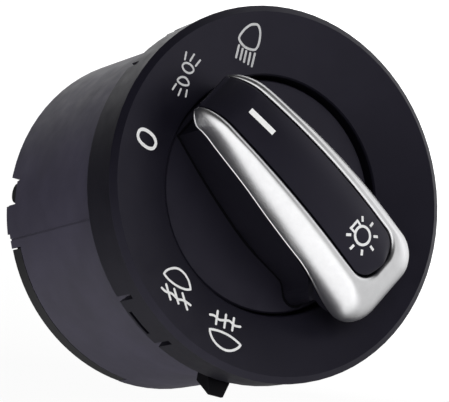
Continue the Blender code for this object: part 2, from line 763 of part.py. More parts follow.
def light_board_shape():
    """Ring board that carries the lamp behind each symbol."""
    return turned([
        (LIGHT_BOARD_INNER, LIGHT_BOARD_BOTTOM),
        (LIGHT_BOARD_OUTER, LIGHT_BOARD_BOTTOM),
        (LIGHT_BOARD_OUTER, LIGHT_BOARD_TOP),
        (LIGHT_BOARD_INNER, LIGHT_BOARD_TOP),
    ], steps=40)


def chip_shape():
    """One small lamp chip, standing on a board at z zero."""
    return box(
        (-CHIP_WIDTH / 2, -CHIP_LENGTH / 2, SEAT_GAP),
        (CHIP_WIDTH / 2, CHIP_LENGTH / 2, SEAT_GAP + CHIP_HEIGHT),
    )


def diffuser_shape():
    """Milky ring behind the face, with a pad under each symbol and a leg down to the board."""
    leg_bottom = LIGHT_BOARD_TOP + SEAT_GAP
    plate_bottom = leg_bottom + DIFFUSER_LEG
    plate_top = plate_bottom + DIFFUSER_WALL
    ring = turned([
        (LIGHT_BOARD_INNER + DISC_CLEARANCE, plate_bottom),
        (LIGHT_BOARD_OUTER - DIFFUSER_WALL, plate_bottom),
        (LIGHT_BOARD_OUTER - DIFFUSER_WALL, leg_bottom),
        (LIGHT_BOARD_OUTER, leg_bottom),
        (LIGHT_BOARD_OUTER, plate_top),
        (LIGHT_BOARD_INNER + DISC_CLEARANCE, plate_top),
    ], steps=40)
    pads = []
    for angle in SYMBOL_ANGLES.values():
        centre = polar(SYMBOL_RADIUS, angle)
        pad_top = plate_top + DIFFUSER_PAD_RISE
        pads.append(rod(DIFFUSER_PAD_RADIUS, plate_top - DIFFUSER_WALL / 2, pad_top, centre))
    return joined(ring, together(pads))


def contact_board_shape():
    """Round board at the rear that the contact shoes slide on."""
    return rod(SHELL_INNER - BOARD_CLEARANCE, BOARD_BOTTOM, BOARD_TOP, steps=48)


def drum_outline():
    """Round drum with three V notches, one at each switch position."""
    half_angle = math.degrees(DETENT_HALF_WIDTH / DRUM_RADIUS)
    first = DETENT_ANGLE - KNOB_REST_ANGLE - DETENT_STEP
    points = []
    for i in range(3):
        centre = first + i * DETENT_STEP
        points.append(polar(DRUM_RADIUS, centre - half_angle))
        points.append(polar(DRUM_RADIUS - DETENT_DEPTH, centre))
        points.append(polar(DRUM_RADIUS, centre + half_angle))
        if i < 2:
            points += arc(DRUM_RADIUS, centre + half_angle, centre + DETENT_STEP - half_angle, 4)[1:-1]
    last = first + 2 * DETENT_STEP + half_angle
    points += arc(DRUM_RADIUS, last, first + 360.0 - half_angle, 48)[1:-1]
    return points


def shoe_places():
    """The x, y place of each contact shoe on the drum."""
    return [polar(SHOE_CIRCLE, 360.0 * i / SHOE_COUNT) for i in range(SHOE_COUNT)]


def rotor_shape():
    """Journal, notched drum and contact holders, with a square bore for the knob's shaft."""
    rotor = joined(
        prism(drum_outline(), DRUM_BOTTOM, DRUM_TOP),
        rod(ROTOR_JOURNAL_RADIUS, DRUM_BOTTOM + DRUM_WALL / 2, ROTOR_TOP, steps=32),
    )
    holder_top = DRUM_BOTTOM + DRUM_WALL / 3
    holders = [rod(HOLDER_RADIUS, HOLDER_BOTTOM, holder_top, place) for place in shoe_places()]
    pocket_top = DRUM_TOP - POCKET_ROOF
    pockets = [rod(HOLDER_BORE, HOLDER_BOTTOM - DRUM_WALL, pocket_top, place) for place in shoe_places()]
    half = SHAFT_SIDE / 2 + SLIDE_GAP
    bore = box((-half, -half, DRUM_BOTTOM - DRUM_WALL), (half, half, ROTOR_TOP + DRUM_WALL))
    return cut(joined(rotor, together(holders)), together(pockets), bore)


def shoe_shape(place):
    """Domed contact shoe with a stub that keys into its spring."""
    return joined(
        rod(SHOE_RADIUS, SHOE_BOTTOM, SHOE_TOP, place, steps=20),
        rod(SHOE_STUB_RADIUS, SHOE_BOTTOM + SHOE_WALL / 2, SHOE_TOP + SHOE_STUB_LENGTH, place, steps=12),
    )


def contact_spring_shape(place):
    """Spring between a contact shoe and the roof of its pocket in the drum."""
    bottom = SHOE_TOP + SEAT_GAP
    top = DRUM_TOP - POCKET_ROOF - SEAT_GAP
    spring = coil(
        CONTACT_SPRING_RADIUS, CONTACT_SPRING_WIRE, bottom, top,
        CONTACT_SPRING_TURNS, sides=4, steps_per_turn=7,
    )
    return placed(spring, x=place[0], y=place[1])


def detent_leaf_shape():
    """Steel leaf with a V nose that drops into the drum's notches."""
    inner = leaf_radius()
    nose = DRUM_RADIUS - DETENT_DEPTH + SEAT_GAP * 2
    foot = DETENT_HALF_WIDTH + LEAF_STANDOFF
    path = [
        (inner, -LEAF_HALF_LENGTH),
        (inner, -foot),
        (nose, -LEAF_THICKNESS),
        (nose, LEAF_THICKNESS),
        (inner, foot),
        (inner, LEAF_HALF_LENGTH),
    ]
    outline = path + [(r + LEAF_THICKNESS, t) for r, t in reversed(path)]
    leaf = prism(outline, DRUM_TOP - LEAF_HEIGHT + SEAT_GAP, DRUM_TOP)
    return placed(leaf, turn=DETENT_ANGLE)


def insert_fall(s):
    """Share of the insert's fall and narrowing that a place along it has reached."""
    return smoothstep(s / INSERT_FALL_LENGTH)


def insert_half(s):
    """Half the width of the knob's insert at a place along it."""
    return INSERT_END_HALF + (INSERT_FRONT_HALF - INSERT_END_HALF) * insert_fall(s)


def edge_height(s):
    """Height of the seam between insert and trim, without the nose."""
    return INSERT_EDGE_Z - INSERT_EDGE_FALL * insert_fall(s)


def nose_drop(s, start, radius):
    """How far a round nose has fallen away at a place along the knob."""
    reach = min(max(0.0, s - start), radius * NOSE_LIMIT)
    return radius - math.sqrt(radius * radius - reach * reach)


def top_drop(s):
    """Fall of the knob's top over its nose."""
    return nose_drop(s, NOSE_START, NOSE_RADIUS)


def lip_drop(s):
    """Fall of the lower edges past the plinth's front."""
    return nose_drop(s, PLINTH_FRONT + SEAT_GAP, LIP_NOSE_RADIUS)


def trim_drop_share(s):
    """Share of the trim's drop toward the knob's far end."""
    return smoothstep((TRIM_DROP_START - s) / TRIM_DROP_LENGTH)


def lip_height(s):
    """Height of the trim's lower edge."""
    return TRIM_LIP_Z - TRIM_DROP * trim_drop_share(s) - lip_drop(s)


def flare_share(s):
    """Share of the trim's flare that a place toward the knob's far end has reached."""
    return smoothstep((TRIM_WAIST_S - s) / TRIM_FLARE_LENGTH)


def trim_half(s):
    """Half the width of the trim at its lower edge, before its tips are rounded."""
    share = max(0.0, (s - TRIM_WAIST_S) / (TRIM_FRONT - TRIM_WAIST_S))
    width = TRIM_WAIST_HALF + (TRIM_FRONT_HALF - TRIM_WAIST_HALF) * share
    return width + TRIM_FLARE * flare_share(s)


def trim_edge(s):
    """Half the width of the trim at its lower edge, with the rounded tips of its arms."""
    seam = insert_half(s) + INSERT_GAP
    past = max(0.0, s - TRIM_TIP_START) / (TRIM_FRONT - TRIM_TIP_START)
    kept = math.sqrt(1 - (min(past, 1.0) * TRIM_TIP_SHARE) ** 2)
    return seam + (trim_half(s) - seam) * kept


def plan_loop(half_width, end, corner, tip_steps=5, side_steps=5, end_steps=6, corner_steps=5):
    """Outline of the trim seen from the front, from its left tip round its end to its right tip."""
    start = -end + corner
    tip = TRIM_FRONT - TRIM_TIP_START
    stations = [TRIM_TIP_START + tip * math.cos(math.pi / 2 * i / tip_steps) for i in range(tip_steps)]
    middle = END_BLOCK_START
    stations += [TRIM_TIP_START + (middle - TRIM_TIP_START) * i / side_steps for i in range(side_steps)]
    stations += [middle + (start - middle) * i / end_steps for i in range(end_steps + 1)]
    side = [(s, half_width(s)) for s in stations]
    half = half_width(start)
    for i in range(1, corner_steps + 1):
        turn = math.pi / 2 * i / corner_steps
        side.append((start - corner * math.sin(turn), half - corner + corner * math.cos(turn)))
    return side + [(s, -t) for s, t in reversed(side)]


def trim_section(upper, lower, outer_steps=5, inner_steps=3):
    """One section of the trim, from the seam down its rounded outside to the lip and back up inside."""
    upper_s, upper_t = upper
    lower_s, lower_t = lower
    top = edge_height(upper_s) - top_drop(upper_s)
    low = lip_height(lower_s)
    across = Vector((lower_s - upper_s, lower_t - upper_t))
    outward = across.normalized()
    wall = min(TRIM_WALL, across.length * TRIM_WALL_SHARE)
    lip_reach = TRIM_LIP * (1 - trim_drop_share(lower_s))
    corner = low + TRIM_LIP_HEIGHT
    power = 1 - TRIM_FULLNESS * (1 - flare_share(lower_s)) * (1 - insert_fall(lower_s))
    section = []
    for i in range(outer_steps + 1):
        turn = math.pi / 2 * (1 - i / outer_steps)
        spot = Vector(upper) + across * math.cos(turn) ** power
        section.append((spot.x, spot.y, corner + (top - corner) * math.sin(turn) ** power))
    lip = Vector(lower) + outward * lip_reach
    section.append((lip.x, lip.y, low + TRIM_LIP_HEIGHT / 2))
    section.append((lip.x, lip.y, low))
    inside = across - outward * wall
    roof = top - low - wall
    for i in range(inner_steps + 1):
        turn = math.pi / 2 * (1 - i / inner_steps)
        spot = Vector(upper) + inside * math.sin(turn)
        section.append((spot.x, spot.y, low + roof * math.cos(turn)))
    return section


def chrome_trim_shape():
    """U-shaped plated trim: a rounded shell with a thin lip along its lower edge."""
    inner_end = INSERT_END + INSERT_GAP
    inner_corner = INSERT_CORNER + INSERT_GAP
    upper = plan_loop(lambda s: insert_half(s) + INSERT_GAP, inner_end, inner_corner)
    lower = plan_loop(trim_edge, TRIM_END, TRIM_CORNER)
    return loft([trim_section(high, low) for high, low in zip(upper, lower)])


def lengthwise(front, end, corner, side_steps, end_steps=1, corner_steps=4):
    """Places along the knob, from its rounded far end to a front."""
    start = -end + corner
    places = [-end + corner * (1 - math.cos(math.pi / 2 * i / corner_steps)) for i in range(corner_steps)]
    middle = END_BLOCK_START
    places += [start + (middle - start) * i / end_steps for i in range(end_steps)]
    return places + [middle + (front - middle) * i / side_steps for i in range(side_steps + 1)]


def rounded(half, s, end, corner):
    """A half width, less the rounding of its corner at the knob's far end."""
    short = max(0.0, corner - (s + end))
    return half - corner + math.sqrt(max(corner * corner - short * short, 0.0))


def insert_crown(s, t, inset):
    """How far the insert's top rises above its edges."""
    height = INSERT_CROWN * (1 - INSERT_CROWN_FALL * insert_fall(s))
    return height * (1 - (t / (insert_half(s) - inset)) ** 2)


def insert_loops(inset, bottom_z, roof, nose_steps=7, across_steps=6):
    """Sections across the insert, each shrunk by an inset and lowered by a roof's thickness."""
    front = INSERT_FRONT - inset
    end = INSERT_END - inset
    corner = INSERT_CORNER - inset
    places = lengthwise(NOSE_START, end, corner, side_steps=6)
    nose = front - NOSE_START
    places += [NOSE_START + nose * math.sin(math.pi / 2 * i / nose_steps) for i in range(1, nose_steps + 1)]
    loops = []
    for s in places:
        tip = smoothstep((s - TRIM_FRONT) / (INSERT_FRONT - TRIM_FRONT))
        full = insert_half(s) - inset
        half = rounded(full, s, end, corner) - INSERT_GAP * tip
        bottom = bottom_z - lip_drop(s)
        edge = max(edge_height(s) - top_drop(s) - roof, bottom + INSERT_GAP)
        loop = [(s, -half, bottom)]
        for i in range(across_steps + 1):
            share = 2 * i / across_steps - 1
            loop.append((s, half * share, edge + insert_crown(s, full * share, inset)))
        loop.append((s, half, bottom))
        loops.append(loop)
    return loops


def knob_insert_shape():
    """Crowned black cap between the chrome arms, open underneath, with a nose that rolls over the tip."""
    shell = loft(insert_loops(0.0, INSERT_BOTTOM, 0.0), split=True)
    hollow = loft(insert_loops(INSERT_WALL, INSERT_BOTTOM - INSERT_WALL, INSERT_ROOF), split=True)
    return cut(shell, hollow)


def plinth_half(s):
    """Half the width of the plinth where it stands on the disc."""
    if s > PLINTH_WAIST_S:
        share = (s - PLINTH_WAIST_S) / (PLINTH_FRONT - PLINTH_WAIST_S)
        half = PLINTH_WAIST_HALF + (PLINTH_FRONT_HALF - PLINTH_WAIST_HALF) * share * math.sqrt(share)
    else:
        share = (PLINTH_WAIST_S - s) / (PLINTH_WAIST_S - END_BLOCK_START)
        half = PLINTH_WAIST_HALF + (PLINTH_NECK_HALF - PLINTH_WAIST_HALF) * smoothstep(share)
    step = smoothstep((END_BLOCK_START - s) / END_BLOCK_STEP)
    return half + (END_BLOCK_HALF - half) * step


def shoulder_half(s):
    """Half the width of the plinth just under the trim's lip."""
    return min(plinth_half(s), trim_edge(s) - SEAT_GAP / 2)


def rib_half(s):
    """Half the width of the plinth's upper part, which fills the trim."""
    return trim_edge(s) - TRIM_WALL - SEAT_GAP


def under_lip(s):
    """Height just under the trim's lip."""
    return lip_height(s) - LIP_GAP


def plinth_part(inset, low_half, high_half, end, corner, low, high):
    """A part of the plinth, or of its hollow, with its walls set in all round."""
    inset_end = end - inset
    inset_corner = max(corner - inset, SEAT_GAP)
    loops = []
    for s in lengthwise(PLINTH_FRONT - inset, inset_end, inset_corner, side_steps=5, end_steps=4):
        foot = rounded(low_half(s) - inset, s, inset_end, inset_corner)
        brow = rounded(high_half(s) - inset, s, inset_end, inset_corner)
        loops.append([(s, -foot, low(s)), (s, foot, low(s)), (s, brow, high(s)), (s, -brow, high(s))])
    return loft(loops, split=True)


def plinth_shape():
    """Solid plinth: a foot on the disc that widens into a block, and a part inside the trim."""
    end = KNOB_DISC_RADIUS - END_BLOCK_EDGE
    rib_end = TRIM_END - TRIM_WALL - SEAT_GAP - PLINTH_TOP_DRAFT
    rib_corner = TRIM_CORNER - TRIM_WALL - SEAT_GAP
    foot = plinth_part(
        0.0, plinth_half, shoulder_half, end, PLINTH_CORNER, lambda s: DISC_TOP - DISC_WALL / 2, under_lip,
    )
    rib = plinth_part(
        0.0, rib_half, lambda s: rib_half(s) - PLINTH_TOP_DRAFT, rib_end, rib_corner,
        lambda s: under_lip(s) - RIB_DEPTH, lambda s: PLINTH_TOP,
    )
    return joined(foot, rib)


def plinth_hollow():
    """Room inside the plinth, open toward the disc."""
    end = KNOB_DISC_RADIUS - END_BLOCK_EDGE
    rib_end = TRIM_END - TRIM_WALL - SEAT_GAP - PLINTH_TOP_DRAFT
    rib_corner = TRIM_CORNER - TRIM_WALL - SEAT_GAP - PLINTH_TOP_DRAFT
    ceiling = PLINTH_TOP - PLINTH_WALL

    def inner_half(s):
        return min(plinth_half(s), rib_half(s) - PLINTH_TOP_DRAFT)

    foot = plinth_part(
        PLINTH_WALL, inner_half, inner_half, end, PLINTH_CORNER,
        lambda s: DISC_TOP - DISC_WALL * 2, lambda s: ceiling,
    )
    rib = plinth_part(
        PLINTH_WALL, inner_half, inner_half, rib_end, rib_corner,
        lambda s: min(under_lip(s), ceiling - PLINTH_WALL) + PLINTH_WALL / 2, lambda s: ceiling - RIB_DEPTH,
    )
    return joined(foot, rib)


def shaft_shape():
    """Square shaft with the two flanges that hold the fog lamp slider's fork."""
    half = SHAFT_SIDE / 2
    shaft = box((-half, -half, SHAFT_BOTTOM), (half, half, PLINTH_TOP - PLINTH_WALL / 2))
    upper = rod(FLANGE_RADIUS, UPPER_FLANGE_BOTTOM, UPPER_FLANGE_BOTTOM + FLANGE_WALL, steps=32)
    lower = rod(FLANGE_RADIUS, LOWER_FLANGE_BOTTOM, LOWER_FLANGE_TOP, steps=32)
    return joined(shaft, upper, lower)


def knob_body_shape():
    """Disc with its skirt, hollow plinth and overhanging end, and the square shaft."""
    disc = turned([
        (KNOB_DISC_RADIUS - DISC_SKIRT_WALL, -DISC_SKIRT_END),
        (KNOB_DISC_RADIUS, -DISC_SKIRT_END),
        (KNOB_DISC_RADIUS, DISC_TOP - RIM_STEP),
        (KNOB_DISC_RADIUS - RIM_STEP, DISC_TOP),
        (FLANGE_RADIUS / 2, DISC_TOP),
        (FLANGE_RADIUS / 2, DISC_TOP - DISC_WALL),
        (KNOB_DISC_RADIUS - DISC_SKIRT_WALL, DISC_TOP - DISC_WALL),
    ], steps=64)
    bore = rod(SHAFT_BORE_RADIUS, SHAFT_BOTTOM - PLINTH_WALL, PLINTH_TOP + PLINTH_WALL)
    body = cut(joined(disc, plinth_shape()), plinth_hollow())
    return cut(joined(body, shaft_shape()), bore)


def light_guide_shape():
    """Clear guide: a pipe through the shaft and a bar under the insert with a riser at each mark."""
    bottom = PLINTH_TOP + SEAT_GAP
    top = bottom + GUIDE_BAR_WALL
    bar = box(
        (BULB_CENTRE - GUIDE_RISER_HALF_LENGTH, -GUIDE_BAR_HALF, bottom),
        (GUIDE_BAR_FRONT, GUIDE_BAR_HALF, top),
    )
    pipe = rod(SHAFT_BORE_RADIUS - SEAT_GAP, -GUIDE_END, bottom + GUIDE_BAR_WALL / 2, steps=16)
    guide = joined(bar, pipe)
    for centre in (POINTER_CENTRE, BULB_CENTRE):
        front = min(centre + GUIDE_RISER_HALF_LENGTH, GUIDE_BAR_FRONT)
        roof = edge_height(front) - INSERT_ROOF + insert_crown(front, GUIDE_RISER_HALF_WIDTH, INSERT_WALL)
        riser = box(
            (centre - GUIDE_RISER_HALF_LENGTH, -GUIDE_RISER_HALF_WIDTH, bottom + GUIDE_BAR_WALL / 2),
            (front, GUIDE_RISER_HALF_WIDTH, roof - SEAT_GAP),
        )
        guide = joined(guide, riser)
    return guide


def fork_slider_shape():
    """Fog lamp slider: a fork round the shaft, an arm and a leg that reaches the contact rails."""
    inner = SHAFT_SIDE / math.sqrt(2) + FORK_CLEARANCE
    half_span = FORK_SPAN / 2
    outline = arc(FORK_RADIUS, -half_span, half_span, 20) + arc(inner, half_span, -half_span, 20)
    fork = prism(outline, FORK_BOTTOM, FORK_TOP)
    arm = box(
        ((inner + FORK_RADIUS) / 2, -LEG_WIDTH / 2, FORK_BOTTOM),
        (LEG_OUTER, LEG_WIDTH / 2, FORK_TOP),
    )
    leg = box((LEG_INNER, -LEG_WIDTH / 2, -LEG_END), (LEG_OUTER, LEG_WIDTH / 2, FORK_TOP - FORK_WALL / 2))
    return placed(joined(fork, arm, leg), turn=FORK_ANGLE)


def wiper_shape():
    """Copper wiper on the outside of the slider's leg."""
    half = (RAIL_PITCH + RAIL_WIDTH) / 2
    wiper = box(
        (LEG_OUTER + SEAT_GAP, -half, -LEG_END + SEAT_GAP),
        (LEG_OUTER + SEAT_GAP + WIPER_WALL, half, -LEG_END + SEAT_GAP + WIPER_LENGTH),
    )
    return placed(wiper, turn=FORK_ANGLE)


def rail_shape(side):
    """One copper rail that stands on the contact board behind the wiper."""
    inner = LEG_OUTER + SEAT_GAP + WIPER_WALL + SEAT_GAP
    centre = side * RAIL_PITCH / 2
    rail = box(
        (inner, centre - RAIL_WIDTH / 2, BOARD_TOP + SEAT_GAP),
        (inner + RAIL_WALL, centre + RAIL_WIDTH / 2, BOARD_TOP + SEAT_GAP + RAIL_LENGTH),
    )
    return placed(rail, turn=FORK_ANGLE)


def claw_shape():
    """Locking claw that slides outward along x: a bored block, a neck and a ramped hook."""
    tail = SUPPORT_OUTER + SEAT_GAP + CLAW_TRAVEL + SLIDE_GAP
    shoulder = SHELL_INNER - SEAT_GAP
    block = box(
        (tail, -CLAW_BLOCK_WIDTH / 2, -CLAW_REAR),
        (shoulder, CLAW_BLOCK_WIDTH / 2, -CLAW_FRONT),
    )
    half = CLAW_WIDTH / 2
    tip_half = CLAW_TIP_WIDTH / 2
    rear = -CLAW_REAR + SLIDE_GAP / 2
    tip_rear = -CLAW_FRONT - CLAW_TIP_HEIGHT
    ramp_start = CLAW_REACH - CLAW_RAMP
    stations = (
        (shoulder - HOUSING_WALL / 2, half, rear),
        (ramp_start, half, rear),
        (CLAW_REACH, tip_half, tip_rear),
    )
    loops = []
    for x, half_width, bottom in stations:
        loops.append([
            (x, -half_width, bottom),
            (x, half_width, bottom),
            (x, half_width, -CLAW_FRONT),
            (x, -half_width, -CLAW_FRONT),
        ])
    bore_radius = CLAW_SPRING_RADIUS + SEAT_GAP + CLAW_SPRING_WIRE / 2
    bore = along_radius(rod(bore_radius, 0.0, CLAW_BORE_DEPTH + tail, steps=16))
    bore = placed(bore, z=claw_middle())
    return cut(joined(block, loft(loops)), bore)


def claw_middle():
    """Height of the axis of a claw's spring."""
    return -(CLAW_REAR + CLAW_FRONT) / 2


def claw_spring_shape():
    """Spring between the support ring and the bottom of the claw's bore."""
    tail = SUPPORT_OUTER + SEAT_GAP + CLAW_TRAVEL + SLIDE_GAP
    spring = coil(
        CLAW_SPRING_RADIUS, CLAW_SPRING_WIRE, SUPPORT_OUTER + SEAT_GAP, tail + CLAW_BORE_DEPTH - SEAT_GAP,
        CLAW_SPRING_TURNS, sides=4, steps_per_turn=7,
    )
    return placed(along_radius(spring), z=claw_middle())


def make_materials():
    """Every material of the switch, by name."""
    return {
        "face": make_material("face_plastic", (0.020, 0.020, 0.023), 0.42),
        "knob": make_material("knob_plastic", (0.018, 0.018, 0.021), 0.38),
        "insert": make_material("insert_plastic", (0.016, 0.016, 0.019), 0.34),
        "chrome": make_material("satin_chrome", (0.72, 0.72, 0.74), 0.26, 1.0),
        "housing": make_material("housing_plastic", (0.060, 0.057, 0.072), 0.48),
        "cover": make_material("cover_plastic", (0.012, 0.012, 0.013), 0.50),
        "claw": make_material("claw_plastic", (0.010, 0.010, 0.011), 0.45),
        "rotor": make_material("rotor_plastic", (0.55, 0.54, 0.50), 0.50),
        "slider": make_material("slider_plastic", (0.42, 0.10, 0.05), 0.50),
        "board": make_material("board_laminate", (0.03, 0.16, 0.07), 0.45),
        "copper": make_material("contact_copper", (0.72, 0.42, 0.24), 0.30, 1.0),
        "tin": make_material("terminal_tin", (0.66, 0.66, 0.64), 0.32, 1.0),
        "steel": make_material("spring_steel", (0.55, 0.55, 0.56), 0.30, 1.0),
        "diffuser": make_material("diffuser_plastic", (0.82, 0.82, 0.80), 0.55),
        "guide": make_material("guide_plastic", (0.80, 0.83, 0.85), 0.15),
        "chip": make_material("lamp_chip", (0.85, 0.82, 0.55), 0.40),
    }


def make_fixed_pieces(dial, paint):
    """The pieces that stay with the housing."""
    make_object("face_plate", face_plate_shape(), paint["face"], dial)
    make_object("housing", housing_shape(), paint["housing"], dial)
    make_object("rear_cover", rear_cover_shape(), paint["cover"], dial)
    make_object("light_board", light_board_shape(), paint["board"], dial)
    make_object("symbol_diffuser", diffuser_shape(), paint["diffuser"], dial)
    make_object("contact_board", contact_board_shape(), paint["board"], dial)
    for name, angle in SYMBOL_ANGLES.items():
        chip = placed(chip_shape(), x=SYMBOL_RADIUS, z=LIGHT_BOARD_TOP, turn=angle)
        make_object(f"lamp_chip_{name}", chip, paint["chip"], dial)
    make_object("lamp_chip_knob", placed(chip_shape(), z=BOARD_TOP), paint["chip"], dial)
    for number, (x, y) in enumerate(terminal_places(), start=1):
        make_object(f"terminal_{number:02d}", terminal_shape(x, y), paint["tin"], dial)
    make_object("detent_leaf", detent_leaf_shape(), paint["steel"], dial)
    for number, side in enumerate((-1, 1), start=1):
        make_object(f"fog_rail_{number}", rail_shape(side), paint["copper"], dial)


def make_rotor_pieces(axis, paint):
    """The pieces that turn with the knob and don't slide."""
    make_object("rotor", rotor_shape(), paint["rotor"], axis)
    for number, place in enumerate(shoe_places(), start=1):
        make_object(f"contact_shoe_{number}", shoe_shape(place), paint["copper"], axis)
        make_object(f"contact_spring_{number}", contact_spring_shape(place), paint["steel"], axis)
    spring = coil(
        RETURN_SPRING_RADIUS, RETURN_SPRING_WIRE, ROTOR_TOP + SEAT_GAP, LOWER_FLANGE_BOTTOM - SEAT_GAP,
        RETURN_SPRING_TURNS,
    )
    make_object("return_spring", spring, paint["steel"], axis)


def make_knob_pieces(axis, paint):
    """The pieces that turn and slide: the knob in the driver's hand."""
    make_object("knob_body", knob_body_shape(), paint["knob"], axis)
    make_object("chrome_trim", chrome_trim_shape(), paint["chrome"], axis)
    make_object("knob_insert", knob_insert_shape(), paint["insert"], axis)
    make_object("light_guide", light_guide_shape(), paint["guide"], axis)


def make_slider_pieces(dial, paint):
    """The pieces that slide with the knob and don't turn."""
    make_object("fog_slider", fork_slider_shape(), paint["slider"], dial)
    make_object("fog_wiper", wiper_shape(), paint["copper"], dial)


def make_claw_pieces(dial, paint):
    """The sprung claws that lock the switch in the dashboard."""
    for name, angle in CLAW_ANGLES.items():
        axis = make_empty(f"claw_axis_{name}", dial, turn_z=angle)
        make_object(f"claw_{name}", claw_shape(), paint["claw"], axis)
        make_object(f"claw_spring_{name}", claw_spring_shape(), paint["steel"], axis)


def main():
    for item in list(bpy.data.objects):
        bpy.data.objects.remove(item)
    paint = make_materials()
    dial = make_empty("dial_frame", turn_x=90.0)
    knob_axis = make_empty("knob_axis", dial, turn_z=KNOB_REST_ANGLE)
    make_fixed_pieces(dial, paint)
    make_rotor_pieces(knob_axis, paint)
    make_knob_pieces(knob_axis, paint)
    make_slider_pieces(dial, paint)
    make_claw_pieces(dial, paint)


main()
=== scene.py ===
"""Dresses the headlight switch: materials for every node, the signs on the face and the knob, studio and camera."""

import math

import bmesh
import bpy
from mathutils import Matrix, Vector
from mathutils.bvhtree import BVHTree

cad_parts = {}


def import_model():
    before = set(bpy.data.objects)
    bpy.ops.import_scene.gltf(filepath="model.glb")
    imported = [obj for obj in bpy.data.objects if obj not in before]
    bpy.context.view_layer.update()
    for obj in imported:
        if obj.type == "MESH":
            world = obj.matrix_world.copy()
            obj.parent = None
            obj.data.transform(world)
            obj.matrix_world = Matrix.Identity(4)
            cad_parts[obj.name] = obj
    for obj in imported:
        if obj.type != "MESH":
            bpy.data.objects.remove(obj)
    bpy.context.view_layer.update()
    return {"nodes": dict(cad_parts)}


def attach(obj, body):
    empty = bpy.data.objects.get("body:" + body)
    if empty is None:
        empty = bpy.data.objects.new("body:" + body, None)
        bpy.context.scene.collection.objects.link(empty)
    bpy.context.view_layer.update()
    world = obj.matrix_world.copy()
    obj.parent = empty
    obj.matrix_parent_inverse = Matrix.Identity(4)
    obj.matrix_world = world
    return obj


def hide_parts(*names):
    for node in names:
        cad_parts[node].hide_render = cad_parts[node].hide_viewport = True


MM = 0.001
KNOB_ANGLE = math.radians(68.0)

# Printed signs: a ray from before the dial finds the surface, and each stroke lies a little above it.
CAST_FROM = -0.080
PRINT_RISE = 0.00003
PRINT_CROWN = 1.2
PRINT_DEPTH = 0.00012
PRINT_STEP = 0.00030
ROUND_END_TURN = 0.94 * math.pi / 2
ROUND_END_SETBACK = 0.6

# Camera, at the photograph's viewing angle.
CAMERA_PLACE = (-0.1978, -0.5239, 0.2506)
CAMERA_RIGHT = (0.3252, -0.4964, -0.8049)
CAMERA_BACK = (-0.3190, -0.8590, 0.4010)
CAMERA_LENS = 240.5
CAMERA_SENSOR = 36.0

# Studio: each lobe has an axis, the cosines where it begins and is full, and its level.
FLOOR_Z = -0.25
FLOOR_HALF = 4.0
FLOOR_COLOUR = (0.22, 0.22, 0.22, 1.0)
FLOOR_GLOW = 0.86
LOBES = (
    ((-0.93, -0.05, 0.30), 0.38, 0.80, 1.25),
    ((0.85, 0.15, -0.50), 0.50, 0.80, 0.85),
    ((-0.25, -0.55, -0.80), 0.35, 0.85, 0.60),
    ((0.55, 0.80, -0.25), 0.75, 0.95, 1.00),
)
ROOM_LEVEL = 0.05
LAMP_DIRECTION = (0.10, -0.95, 0.30)
LAMP_DISTANCE = 0.95
LAMP_SIZE = 0.60
LAMP_POWER = 6.5

# Trim and insert, in the knob's own frame: s along the knob to its pointer, t across it, z out of the dial.
END_BLOCK_START = -0.0138
TRIM_LIP_Z = 0.0185
TRIM_LIP_SINK = 0.0026
TRIM_SINK_START = 0.0060
TRIM_DROP = 0.0040
TRIM_DROP_START = -0.0092
TRIM_DROP_LENGTH = 0.0158
TRIM_FRONT = 0.0261
TRIM_TIP_START = 0.0222
TRIM_TIP_SINK = 0.0014
TRIM_TIP_SINK_START = 0.0212
TRIM_TIP_SINK_LENGTH = 0.0028
TRIM_END_FLARE = 0.0004
TRIM_END_ROUNDING = 0.6
TRIM_TIP_SHARE = 0.97
TRIM_END = 0.0292
TRIM_CORNER = 0.0058
TRIM_HALF = 0.01022
TRIM_TAPER = 0.072
TRIM_NARROWING = 2.40
TRIM_FLATNESS = 0.28
TRIM_FLAT_END = 0.0120
TRIM_ROUND_TIP = 0.0220
TRIM_LIP = 0.00012
TRIM_LIP_HEIGHT = 0.0005
TRIM_LIP_SHARES = (-0.5, 0.0, 0.5, 0.9)
TRIM_WALL = 0.0013
TRIM_WALL_SHARE = 0.45
TRIM_ROLL = 0.0009
TRIM_ROLL_SHARE = 0.3
TRIM_RISE = 0.0003
INSERT_FRONT = 0.0265
INSERT_END = 0.0216
INSERT_HALF = 0.0054
INSERT_TAPER = 0.022
INSERT_NARROWING = 0.60
INSERT_CORNER = 0.0042
INSERT_GAP = 0.0003
INSERT_EDGE_Z = 0.0254
INSERT_ARCH = 5.0
INSERT_ARCH_S = -0.0030
INSERT_FALL_LENGTH = 0.0260
INSERT_CROWN = 0.0009
INSERT_CROWN_FALL = 0.6
INSERT_BOTTOM = 0.0176
NOSE_START = 0.0202
NOSE_RADIUS = 0.0060
LIP_NOSE_START = 0.0226
LIP_NOSE_RADIUS = 0.0090
NOSE_LIMIT = 0.98

# Plinth, where it stands on the disc, in the same frame.
DISC_RADIUS = 0.0239
PLINTH_FRONT = 0.0223
PLINTH_FRONT_HALF = 0.0068
PLINTH_WAIST_HALF = 0.0108
PLINTH_WAIST_S = -0.0040
PLINTH_NECK_HALF = 0.0103
PLINTH_CORNER = 0.0022
END_BLOCK_STEP = 0.0036
END_BLOCK_HALF = 0.0124
END_BLOCK_EDGE = 0.0035
DISC_TOP = 0.0060
FOOT_INNER = -0.0002
FOOT_OUTER = 0.0004
FOOT_RISE = 0.00006

# Joint between the housing and the end of the rear cover's band.
JOINT_ANGLES = (math.radians(124.3), math.radians(126.6))
JOINT_RADII = (0.0338, 0.0354)
JOINT_DEPTHS = (0.0322, 0.0390)

SOFT_EDGE = 0.00015
SOFT_ANGLE = math.radians(35.0)
WELD_REACH = 0.00001

